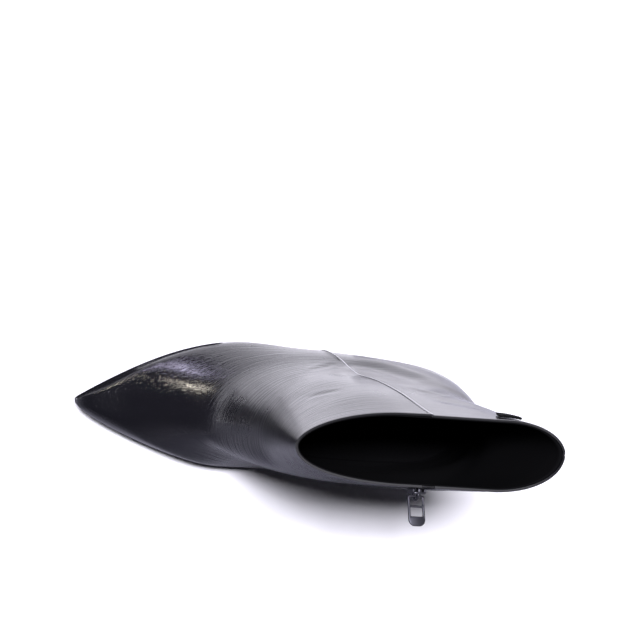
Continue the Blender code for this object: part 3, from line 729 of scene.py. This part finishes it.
thick = upper.modifiers.new("leather thickness", "SOLIDIFY")
thick.thickness, thick.offset = LEATHER * MM, -1.0
thick.use_quality_normals = True
thick.material_offset_rim = RIM_SLOT
edge = upper.modifiers.new("rounded edges", "BEVEL")
edge.limit_method, edge.angle_limit, edge.width, edge.segments = "ANGLE", RIM_ANGLE, 0.5 * MM, 2
dress(upper, "upper_patent", "upper")

# %% [markdown]
# ## Lining
# Inside, the boot is lined with thin black suede cloth, glued to the leather and trimmed just below the
# collar's edge. It is the same sheet, set in by the leather's thickness, with fewer points because nothing
# in there is sharp. The cloth swallows light: a rough, nearly black base whose nap is a fine bump. The same
# kind of grain, in other sizes, serves the rubber, the webbing and the thread.

# %% Black suede lining
LINING, LINING_SET_IN, LINING_BELOW_EDGE = 0.55, LEATHER + 0.12, 0.9
NAP = 0.8


def add_grain(tree, shader, size, detail, strength, depth):
    """Bumps of fine noise, of a size in millimetres. Gives the noise, for roughness."""
    place = add_node(tree, "TexCoord")
    noise = add_node(
        tree, "TexNoise", {"Vector": place.outputs["Object"], "Scale": 1 / (size * MM), "Detail": detail}
    )
    height = noise.outputs["Fac"]
    bumps = add_node(tree, "Bump", {"Height": height, "Strength": strength, "Distance": depth})
    tree.links.new(bumps.outputs["Normal"], shader.inputs["Normal"])
    return height


suede, tree, shader = new_finish("black_suede_cloth", "#0B0B0C", 0.95, Specular_IOR_Level=0.05)
nap = add_grain(tree, shader, NAP, 4.0, 0.6, 0.0002)
shade = add_node(tree, "MapRange", {"Value": nap, "To Min": 0.85, "To Max": 1.0})
tree.links.new(shade.outputs["Result"], shader.inputs["Roughness"])

inner = relaxed - LINING_SET_IN * sheet_normals(relaxed)
top = inner[-1] - inner[-2]
inner[-1] -= LINING_BELOW_EDGE * top / np.linalg.norm(top, axis=-1, keepdims=True)
sparse_rows = np.unique(np.append(np.arange(0, LEVELS, 2), LEVELS - 1))
inner = inner[sparse_rows][:, ::2]
inside_out = [face[::-1] for face in grid_faces(*inner.shape[:2], closed=True)]
lining = mesh_object("suede_lining", inner, inside_out, suede)[0]
thick = lining.modifiers.new("cloth thickness", "SOLIDIFY")
thick.thickness, thick.offset = LINING * MM, 1.0
dress(lining, "lining")

# %% [markdown]
# ## Insole, outsole and heel
# These are stacks of outlines, each with a lateral and a medial edge whose points lie opposite each other,
# joined like the rungs of a ladder. More outlines near an edge round it. The outsole is moulded rubber with
# shallow ribs under the forefoot, the heel is a block covered with the same patent leather, and a hard
# rubber top piece takes the wear. None of this shows in the photograph, so all of it is kept plain.

# %% Stacked outlines
def ladder_faces(layers, count, pointed):
    """Faces of stacked outlines: walls between them, and rungs that close the lowest and the highest."""
    steps = count // 2 if pointed else count // 2 - 1
    faces = grid_faces(layers, count, closed=True)
    for first, flip in ((0, True), ((layers - 1) * count, False)):
        for j in range(steps):
            across = [j, j + 1, (count - j - 1) % count, (count - j) % count]
            corners = [first + c for c in dict.fromkeys(across)]
            faces.append(tuple(corners[::-1] if flip else corners))
    return faces


def ladder_piece(name, rings, material, sharp_deg=35.0):
    """Closed piece from outlines, each a pair of edges that start at one shared point at the back."""
    pointed = np.allclose(rings[0][0][-1], rings[0][1][-1])
    outlines = [np.concatenate([lat, med[(-2 if pointed else -1):0:-1]]) for lat, med in rings]
    faces = ladder_faces(len(outlines), len(outlines[0]), pointed)
    return mesh_object(name, np.stack(outlines), faces, material, sharp_deg)[0]


def close_at_ends(columns):
    """Shares from 0 to 1, set closer at both ends."""
    even = np.linspace(0, 1, columns + 1)
    return halfway(even, halfway(1, -np.cos(math.pi * even)))


def sole_ring(grow, height, columns=220):
    """Feather line of the last, grown sideways, at the height that a function of x gives."""
    share = close_at_ends(columns)
    back, front = loop_ends(0.0)
    x = back + (front - back) * share
    middle, reach = halfway(back, front), 1 + 2 * grow / (front - back)
    grown_x = middle + (x - middle) * reach
    edges = []
    for side in (LATERAL, MEDIAL):
        wide = half_width(0.0, x, side) * (1 + grow / SIDES[LATERAL].ball)
        edges.append(np.stack([grown_x, middle_line(x, 0) + side * wide, height(grown_x)], -1))
    return edges


print("two outlines of 8 points close with", len(ladder_faces(2, 8, pointed=True)), "faces")


# %% Moulded rubber outsole
SOLE_EDGE = 0.8
RIB_PITCH, RIB_DEEP, RIB_BORDER = 3.2, 0.5, 5.0
RIBS_FROM, RIBS_TO = BALL_X - 38, LENGTH - 22
RUBBER_GRIT = 0.5

rubber, tree, shader = new_finish("black_moulded_rubber", "#17171A", 0.55, Specular_IOR_Level=0.4)
grit = add_grain(tree, shader, RUBBER_GRIT, 3.0, 0.3, 0.0001)
rough = add_node(tree, "MapRange", {"Value": grit, "To Min": 0.45, "To Max": 0.68})
tree.links.new(rough.outputs["Result"], shader.inputs["Roughness"])


def underside(x):
    return bottom_line(x) - GAP - sole_thickness(x)


def ribbed(x):
    """Underside with grooves across the forefoot."""
    wave = 0.5 - 0.5 * np.cos(2 * math.pi * (x - RIBS_FROM) / RIB_PITCH)
    inside = smooth(RIBS_FROM, RIBS_FROM + 2, x) * (1 - smooth(RIBS_TO - 2, RIBS_TO, x))
    return underside(x) + RIB_DEEP * inside * smooth(0.55, 0.95, wave)


sole_rings = [
    sole_ring(-RIB_BORDER - 0.4, ribbed),
    sole_ring(-RIB_BORDER, underside),
    sole_ring(0.0, underside),
]
for angle in np.radians([30, 60, 90]):
    out, rise = SOLE_EDGE * math.sin(angle), SOLE_EDGE * (1 - math.cos(angle))
    sole_rings.append(sole_ring(out, lambda x, r=rise: underside(x) + r))
for angle in np.radians([90, 60, 30, 0]):
    out, drop = SOLE_EDGE * math.sin(angle), SOLE_EDGE * (1 - math.cos(angle))
    sole_rings.append(sole_ring(out, lambda x, d=drop: bottom_line(x) - 0.05 - d))
dress(ladder_piece("rubber_outsole", sole_rings, rubber), "outsole", "outsole")

# %% Covered heel and top piece
HeelSection = namedtuple("HeelSection", "drop back_x breast_x half_width")
HEEL_SECTIONS = [
    HeelSection(0.00, 6.0, 57.0, 26.0),
    HeelSection(0.12, 6.5, 49.0, 24.0),
    HeelSection(0.30, 8.0, 42.0, 19.5),
    HeelSection(0.60, 11.5, 37.0, 14.0),
    HeelSection(1.00, 15.0, 37.0, 11.5),
]
TOP_PIECE, TOP_PIECE_CHAMFER, BREAST_ROUND = 5.0, 0.6, 1.2


def heel_ring(drop, height, shrink=0.0):
    """One outline of the heel: round at the back, straight across the breast with small round corners."""
    back, breast, half = (
        monotone([s.drop for s in HEEL_SECTIONS], [getattr(s, name) for s in HEEL_SECTIONS], drop)
        for name in ("back_x", "breast_x", "half_width")
    )
    back, breast, half = back + shrink, breast - shrink, half - shrink
    share = np.linspace(0, 1, 41) ** 1.6 * (1 - BREAST_ROUND / (breast - back))
    x = back + (breast - back) * share
    wide = half * (1 - (1 - share) ** 2.4) ** 0.55
    corner = np.radians([20, 40, 60, 80])
    x = np.append(x, breast - BREAST_ROUND * (1 - np.sin(corner)))
    wide = np.append(wide, half - BREAST_ROUND * (1 - np.cos(corner)))
    return [np.stack([x, side * wide, height(x)], -1) for side in (LATERAL, MEDIAL)]


def heel_height(drop):
    """Height of an outline between the sole above it, at 0, and the top piece below it, at 1."""
    return lambda x: (1 - drop) * (underside(x) - 0.1) + drop * (TOP_PIECE + 0.1)


heel_patent = patent_leather("black_patent_heel_cover", "#0D0D11", streaks=False)
heel_rings = [heel_ring(drop, heel_height(drop)) for drop in np.linspace(1, 0, 33)]
dress(ladder_piece("covered_heel", heel_rings, heel_patent), "heel_cover", "heel")

hard_rubber, tree, shader = new_finish("black_hard_rubber", "#1C1C1E", 0.6)
add_grain(tree, shader, RUBBER_GRIT, 4.0, 0.4, 0.0001)
top_rings = [
    heel_ring(1.0, lambda x: 0 * x, TOP_PIECE_CHAMFER),
    heel_ring(1.0, lambda x: 0 * x + TOP_PIECE_CHAMFER),
    heel_ring(1.0, lambda x: 0 * x + TOP_PIECE - 0.25),
    heel_ring(1.0, lambda x: 0 * x + TOP_PIECE, 0.25),
]
dress(ladder_piece("rubber_top_piece", top_rings, hard_rubber), "top_piece", "heel_top_piece")

# %% Lined insole
INSOLE, INSOLE_INSET = 2.0, 2.3


def insole_ring(inset, rise, columns=120):
    """Outline of the insole on the bottom line, between the walls."""
    share = close_at_ends(columns)
    back, front = loop_ends(0.0)
    back, front = back + inset, front - 1.8 * inset
    x = back + (front - back) * share
    return [
        np.stack([x, middle_line(x, 0) + side * half_width(0.0, x, side, inset), bottom_line(x) + rise], -1)
        for side in (LATERAL, MEDIAL)
    ]


INSOLE_STEPS = ((0, 0), (1.2, INSOLE - 0.4), (0.9, INSOLE))
insole_rings = [insole_ring(INSOLE_INSET - out, rise) for out, rise in INSOLE_STEPS]
dress(ladder_piece("lined_insole", insole_rings, suede), "lining", "insole")

# %% [markdown]
# ## Zip
# The zip runs up the inner side in a slit of the leather. It is a woven tape with two rows of black nylon
# coil, which lock together below the slider. Each loop of the coil shows as a small rib across the tape.
# Ribs and stitches have the same shape, a short rod with round ends, so one function makes all of them.

# %% Frames along the zip
ZIP_TAPE_WIDE, ZIP_TAPE_SUNK, ZIP_TAPE_THICK = 5.9, 0.55, 0.5
SLIDER_V = 0.955
zip_levels = np.linspace(ZIP_LOW_V + 0.006, 1, 400)
zip_line = wall_point(zip_levels, seam_share(zip_levels, MEDIAL), MEDIAL)


def running_length(line):
    return np.append(0, np.cumsum(np.linalg.norm(np.diff(line, axis=0), axis=1)))


def unit(vectors):
    return vectors / np.linalg.norm(vectors, axis=-1, keepdims=True)


def seam_frames(distances, side, levels, lengths):
    """Places along a seam with their directions across, along and out of the wall."""
    v = np.interp(distances, lengths, levels)
    share, above, below = seam_share(v, side), np.minimum(v + 1e-3, 1), v - 1e-3
    place, out = wall_point(v, share, side), wall_normal(v, share, side)
    upper_end, lower_end = (wall_point(w, seam_share(w, side), side) for w in (above, below))
    along = unit(upper_end - lower_end)
    return place, unit(np.cross(along, out)), along, out


zip_length = running_length(zip_line)
print("zip:", round(float(zip_length[-1]), 1), "mm long")

# %% Rods for coil and stitches
ROD_ENDS = np.array([-1, -0.97, -0.8, -0.4, 0, 0.4, 0.8, 0.97, 1])
ROD_GIRTH = np.array([0.35, 0.75, 1, 1, 1, 1, 1, 0.75, 0.35])


def rods(name, places, axes, outs, length, radius, material, arch=0.0, sides=8):
    """Short rods with round ends, one at each place, joined in one piece. An arch bends them outwards."""
    ends = ROD_ENDS * 0.5 * length
    girth = radius * ROD_GIRTH
    turn = np.linspace(0, 2 * math.pi, sides, endpoint=False)
    sideways = np.cross(outs, axes)
    points, faces = [], []
    for place, axis, out, side in zip(places, axes, outs, sideways):
        first = len(points) * len(ends) * sides
        bend = arch * (1 - (2 * ends / length) ** 2)
        ring = place + ends[:, None] * axis + bend[:, None] * out
        round_part = np.cos(turn)[:, None] * side + np.sin(turn)[:, None] * out
        points.append(ring[:, None] + girth[:, None, None] * round_part)
        faces += [tuple(first + c for c in face) for face in grid_faces(len(ends), sides, closed=True)]
        faces.append(tuple(first + c for c in range(sides))[::-1])
        faces.append(tuple(first + (len(ends) - 1) * sides + c for c in range(sides)))
    return mesh_object(name, np.array(points), faces, material)[0]


print("a rod has", len(ROD_ENDS), "rings")


# %% Woven tape and nylon coil
TAPE_THREAD = 0.45
COIL_PITCH, COIL_LONG, COIL_ROD = 1.25, 2.7, 0.42

tape_cloth, tree, shader = new_finish("black_woven_polyester", "#101012", 0.8, Sheen_Weight=0.15)
place = add_node(tree, "TexCoord")
twill_map = add_node(
    tree, "Mapping",
    {"Vector": place.outputs["Object"], "Rotation": (0.0, math.radians(35), math.radians(20))},
)
twill = add_node(
    tree, "TexWave",
    {"Vector": twill_map.outputs["Vector"], "Scale": 1 / (TAPE_THREAD * MM) / 20, "Distortion": 0.4},
)
weave = add_node(tree, "Bump", {"Height": twill.outputs["Fac"], "Strength": 0.6, "Distance": 0.0002})
tree.links.new(weave.outputs["Normal"], shader.inputs["Normal"])

tape_at, tape_across, _, tape_out = seam_frames(
    np.linspace(0, zip_length[-1], 120), MEDIAL, zip_levels, zip_length
)
spread = np.linspace(-0.5, 0.5, 9) * ZIP_TAPE_WIDE
tape_grid = tape_at[:, None] + spread[:, None] * tape_across[:, None] - ZIP_TAPE_SUNK * tape_out[:, None]
tape = mesh_object("zip_tape_woven", tape_grid, grid_faces(*tape_grid.shape[:2]), tape_cloth)[0]
thick = tape.modifiers.new("tape thickness", "SOLIDIFY")
thick.thickness, thick.offset = ZIP_TAPE_THICK * MM, -1.0
dress(tape, "zip_tape", "zip_tape")

nylon = new_finish("black_nylon_coil", "#121214", 0.32, Coat_Weight=0.2, Coat_Roughness=0.2)[0]
slider_at = np.interp(SLIDER_V, zip_levels, zip_length)
for name, hand, start in (("zip_coil_front", -1, 0.0), ("zip_coil_back", 1, 0.5 * COIL_PITCH)):
    along = np.arange(2 + start, slider_at, COIL_PITCH)
    at, across, _, out = seam_frames(along, MEDIAL, zip_levels, zip_length)
    at = at + hand * 0.36 * COIL_LONG * across - (ZIP_TAPE_SUNK - COIL_ROD + 0.12) * out
    dress(rods(name, at, across, out, COIL_LONG, COIL_ROD, nylon, arch=0.18), "zip_tape")

# %% [markdown]
# ## Slider and pull
# The slider and its pull are cast zinc with a satin gunmetal plating. A casting has no sharp edge, so each
# flat part is an outline with a thickness and a rounded rim, which Blender's 2D curves give directly. The
# pull hangs on the slider's bridge and swings, so it rides on its own body. In the photograph it stands
# out from the boot.

# %% Gunmetal plating
SCUFF = 3.0

gunmetal, tree, shader = new_finish("satin_gunmetal_plated_zinc", "#55555B", 0.45, Metallic=1.0)
place = add_node(tree, "TexCoord")
scuff = add_node(
    tree, "TexNoise", {"Vector": place.outputs["Object"], "Scale": 1 / (SCUFF * MM), "Detail": 5.0}
)
worn = add_node(tree, "MapRange", {"Value": scuff.outputs["Fac"], "To Min": 0.36, "To Max": 0.56})
tree.links.new(worn.outputs["Result"], shader.inputs["Roughness"])


def rounded_rectangle(centre_y, wide, long, top_radius, end_radius=None, steps=6):
    """Points of a rectangle with round corners, drawn round (0, centre_y)."""
    points = []
    for quarter, (sign_x, sign_y) in enumerate(((1, 1), (-1, 1), (-1, -1), (1, -1))):
        radius = top_radius if sign_y > 0 or end_radius is None else end_radius
        for angle in 0.5 * math.pi * (quarter + np.linspace(0, 1, steps + 1)):
            points.append((
                sign_x * (0.5 * wide - radius) + radius * math.cos(angle),
                centre_y + sign_y * (0.5 * long - radius) + radius * math.sin(angle),
            ))
    return points


def curve_mesh(curve):
    """Mesh of a curve's filled and bevelled shape, with its loose caps welded on."""
    holder = bpy.data.objects.new("holder", curve)
    bpy.context.scene.collection.objects.link(holder)
    bpy.context.view_layer.update()
    mesh = bpy.data.meshes.new_from_object(holder.evaluated_get(bpy.context.evaluated_depsgraph_get()))
    bpy.data.objects.remove(holder)
    bm = bmesh.new()
    bm.from_mesh(mesh)
    bmesh.ops.remove_doubles(bm, verts=bm.verts, dist=0.00001)
    bm.to_mesh(mesh)
    bm.free()
    return mesh


def cast_plate(outlines, thickness, rim):
    """Flat casting from closed outlines in millimetres, with a rounded rim."""
    curve = bpy.data.curves.new("plate", "CURVE")
    curve.dimensions, curve.fill_mode = "2D", "BOTH"
    curve.extrude, curve.bevel_depth = (0.5 * thickness - rim) * MM, rim * MM
    curve.bevel_resolution, curve.offset = 2, -rim * MM
    for outline in outlines:
        spline = curve.splines.new("POLY")
        spline.points.add(len(outline) - 1)
        for point, (x, y) in zip(spline.points, outline):
            point.co = (x * MM, y * MM, 0, 1)
        spline.use_cyclic_u = True
    return curve_mesh(curve)


def cast_piece(name, parts, origin, across, up, material):
    """One piece from meshes drawn with x across and y up, each lifted by its own offset in millimetres."""
    turn = Matrix((across, up, np.cross(across, up))).transposed().to_4x4()
    bm = bmesh.new()
    for mesh, offset in parts:
        mesh.transform(Matrix.Translation(to_frame(origin)) @ turn @ Matrix.Translation(Vector(offset) * MM))
        bm.from_mesh(mesh)
    joined = bpy.data.meshes.new(name)
    bm.to_mesh(joined)
    bm.free()
    joined.materials.clear()
    joined.materials.append(material)
    joined.shade_smooth()
    joined.set_sharp_from_angle(angle=math.radians(40))
    piece = bpy.data.objects.new(name, joined)
    bpy.context.scene.collection.objects.link(piece)
    return piece


# %% Slider with its bridge
SLIDER_WIDE, SLIDER_NECK, SLIDER_LONG, SLIDER_THICK = 7.6, 5.6, 10.0, 2.6
PLATE, FLANGE = 1.0, 0.9
BRIDGE_RADIUS, BRIDGE_WIRE = 3.0, 0.6

slider_place, slider_across, slider_up, slider_out = (
    part[0] for part in seam_frames(np.array([slider_at]), MEDIAL, zip_levels, zip_length)
)


def tapered(points):
    """Narrows an outline towards its lower end, where the closed coil comes out."""
    narrowed = []
    for x, y in points:
        share = smooth(-0.5 * SLIDER_LONG, 0.2 * SLIDER_LONG, y)
        wide = SLIDER_NECK + (SLIDER_WIDE - SLIDER_NECK) * share
        narrowed.append((x * wide / SLIDER_WIDE, y))
    return narrowed


plate_outline = tapered(rounded_rectangle(0, SLIDER_WIDE, SLIDER_LONG, 1.8))
slider_parts = [(cast_plate([plate_outline], PLATE, 0.35), (0, 0, GAP + SLIDER_THICK - 0.5 * PLATE))]
for hand in (-1, 1):
    flange_x = hand * (0.5 * SLIDER_WIDE - 0.5 * FLANGE)
    flange = rounded_rectangle(0, FLANGE, 0.8 * SLIDER_LONG, 0.4)
    flange = [(flange_x + x, y) for x, y in flange]
    rise = SLIDER_THICK - PLATE + 0.1
    slider_parts.append((cast_plate([tapered(flange)], rise, 0.2), (0, 0, GAP + 0.5 * rise)))
wedge = rounded_rectangle(0.33 * SLIDER_LONG, 2.4, 0.3 * SLIDER_LONG, 0.9)
wedge_plate = cast_plate([wedge], SLIDER_THICK - PLATE + 0.1, 0.2)
slider_parts.append((wedge_plate, (0, 0, GAP + 0.5 * (SLIDER_THICK - PLATE))))

arch = bpy.data.curves.new("bridge", "CURVE")
arch.dimensions, arch.bevel_depth, arch.bevel_resolution = "3D", BRIDGE_WIRE * MM, 3
arch.use_fill_caps = True
spline = arch.splines.new("POLY")
swing = np.linspace(-0.1, math.pi + 0.1, 25)
spline.points.add(len(swing) - 1)
for point, angle in zip(spline.points, swing):
    point.co = (0, BRIDGE_RADIUS * math.cos(angle) * MM, BRIDGE_RADIUS * math.sin(angle) * MM, 1)
slider_parts.append((curve_mesh(arch), (0, 0, GAP + SLIDER_THICK)))
slider = cast_piece("zip_slider_cast", slider_parts, slider_place, slider_across, slider_up, gunmetal)
dress(slider, "zip_metal", "zip_slider")

# %% Pull tab
PULL_LONG, PULL_WIDE, PULL_THICK, PULL_BAR = 16.0, 9.4, 1.2, 1.1
PULL_EYE, PULL_WINDOW, PIVOT_RISE, PULL_FROM_UP_DEG = 4.2, 4.6, 1.3, 78.0
PULL_ROUND, PULL_END_ROUND, PULL_INNER_ROUND = 1.4, 3.4, 0.6

bar_top, inner_wide = 0.5 * PULL_BAR, PULL_WIDE - 2 * PULL_BAR
eye_middle = -bar_top - 0.5 * PULL_EYE
window_middle = eye_middle - 0.5 * (PULL_EYE + PULL_WINDOW) - PULL_BAR
pull_outlines = [
    rounded_rectangle(bar_top - 0.5 * PULL_LONG, PULL_WIDE, PULL_LONG, PULL_ROUND, PULL_END_ROUND),
    rounded_rectangle(eye_middle, inner_wide, PULL_EYE, PULL_INNER_ROUND),
    rounded_rectangle(window_middle, inner_wide, PULL_WINDOW, PULL_INNER_ROUND),
]
lean = math.radians(PULL_FROM_UP_DEG)
reach = slider_up * math.cos(lean) + slider_out * math.sin(lean)
pivot = slider_place + slider_out * (GAP + SLIDER_THICK + PIVOT_RISE)
pull_parts = [(cast_plate(pull_outlines, PULL_THICK, 0.3), (0, 0, 0))]
pull = cast_piece("zip_pull_cast", pull_parts, pivot, slider_across, -reach, gunmetal)
dress(pull, "zip_metal", "zip_pull", body="pull")

# %% [markdown]
# ## Webbing tab
# A small tab of matt black webbing is sewn to the outer side at the back of the collar. It is a patch of
# the last's own surface, lifted off the leather, with the ribs of the weave running across it.

# %% Webbing tab at the collar
TAB_V, TAB_X, TAB_THICK = (0.964, 0.984), (8.0, 20.0), 1.2
TAB_RIB, TAB_RIB_HIGH, TAB_YARN = 1.0, 0.16, 0.35

webbing, tree, shader = new_finish("black_cotton_webbing", "#070708", 0.95, Specular_IOR_Level=0.15)
add_grain(tree, shader, TAB_YARN, 3.0, 0.7, 0.00015)

tab_grid = []
tab_x = np.linspace(*TAB_X, 57)
for v in np.linspace(*TAB_V, 19):
    back, front = loop_ends(v)
    share = (tab_x - back) / (front - back)
    rib = TAB_RIB_HIGH * (0.5 + 0.5 * np.cos(2 * math.pi * (tab_x - TAB_X[0]) / TAB_RIB))
    lift = (GAP + TAB_THICK - rib)[:, None] * wall_normal(v, share, LATERAL)
    tab_grid.append(wall_point(v, share, LATERAL) + lift)
tab_grid = np.array(tab_grid)
tab = mesh_object("webbing_tab", tab_grid, grid_faces(*tab_grid.shape[:2]), webbing)[0]
thick = tab.modifiers.new("webbing thickness", "SOLIDIFY")
thick.thickness, thick.offset = TAB_THICK * MM, -1.0
edge = tab.modifiers.new("soft edges", "BEVEL")
edge.limit_method, edge.angle_limit, edge.width, edge.segments = "ANGLE", RIM_ANGLE, 0.25 * MM, 2
dress(tab, "webbing", "side_tab")

# %% [markdown]
# ## Stitches
# The lapped seam and both edges of the zip are sewn with fine black thread. Each stitch is one short rod,
# arched so that its ends dip into the leather. They are spaced by length along the seam, not by level, so
# that they stay even where the seam bends.

# %% Stitch rows
STITCH, STITCH_GAP, THREAD = 2.3, 0.7, 0.2
SEAM_STITCH_OFF, ZIP_STITCH_OFF = 1.7, 5.0
PLY, NOISE_DETAIL = 0.3, 2.0

thread, tree, shader = new_finish("black_bonded_thread", "#131316", 0.5)
add_grain(tree, shader, PLY, NOISE_DETAIL, 0.4, 0.00005)


def stitch_row(name, side, off, low_v, high_v, lift):
    """Stitches along the seam of one side, a distance off to the front of it, lifted with the panel."""
    v = np.linspace(low_v, high_v, 300)
    back, front = loop_ends(v)
    share = seam_share(v, side) + off / (front - back)
    line, out = wall_point(v, share, side), wall_normal(v, share, side)
    length = running_length(line)
    middles = np.arange(0.5 * STITCH, length[-1] - 0.5 * STITCH, STITCH + STITCH_GAP)
    at = np.stack([np.interp(middles, length, line[:, k]) for k in range(3)], -1)
    outs = unit(np.stack([np.interp(middles, length, out[:, k]) for k in range(3)], -1))
    axes = unit(np.stack([np.interp(middles, length, np.gradient(line[:, k])) for k in range(3)], -1))
    at = at + lift * outs
    return rods(name, at, axes, outs, STITCH, THREAD, thread, arch=0.12)


dress(stitch_row("seam_stitches", LATERAL, SEAM_STITCH_OFF, 0.03, 0.995, LAP - 0.08), "upper_patent")
for name, off in (("zip_stitches_front", ZIP_STITCH_OFF), ("zip_stitches_back", -ZIP_STITCH_OFF)):
    dress(stitch_row(name, MEDIAL, off, ZIP_LOW_V - 0.01, 0.995, -0.02), "upper_patent")

# %% Size of the finished pieces
low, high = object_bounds()
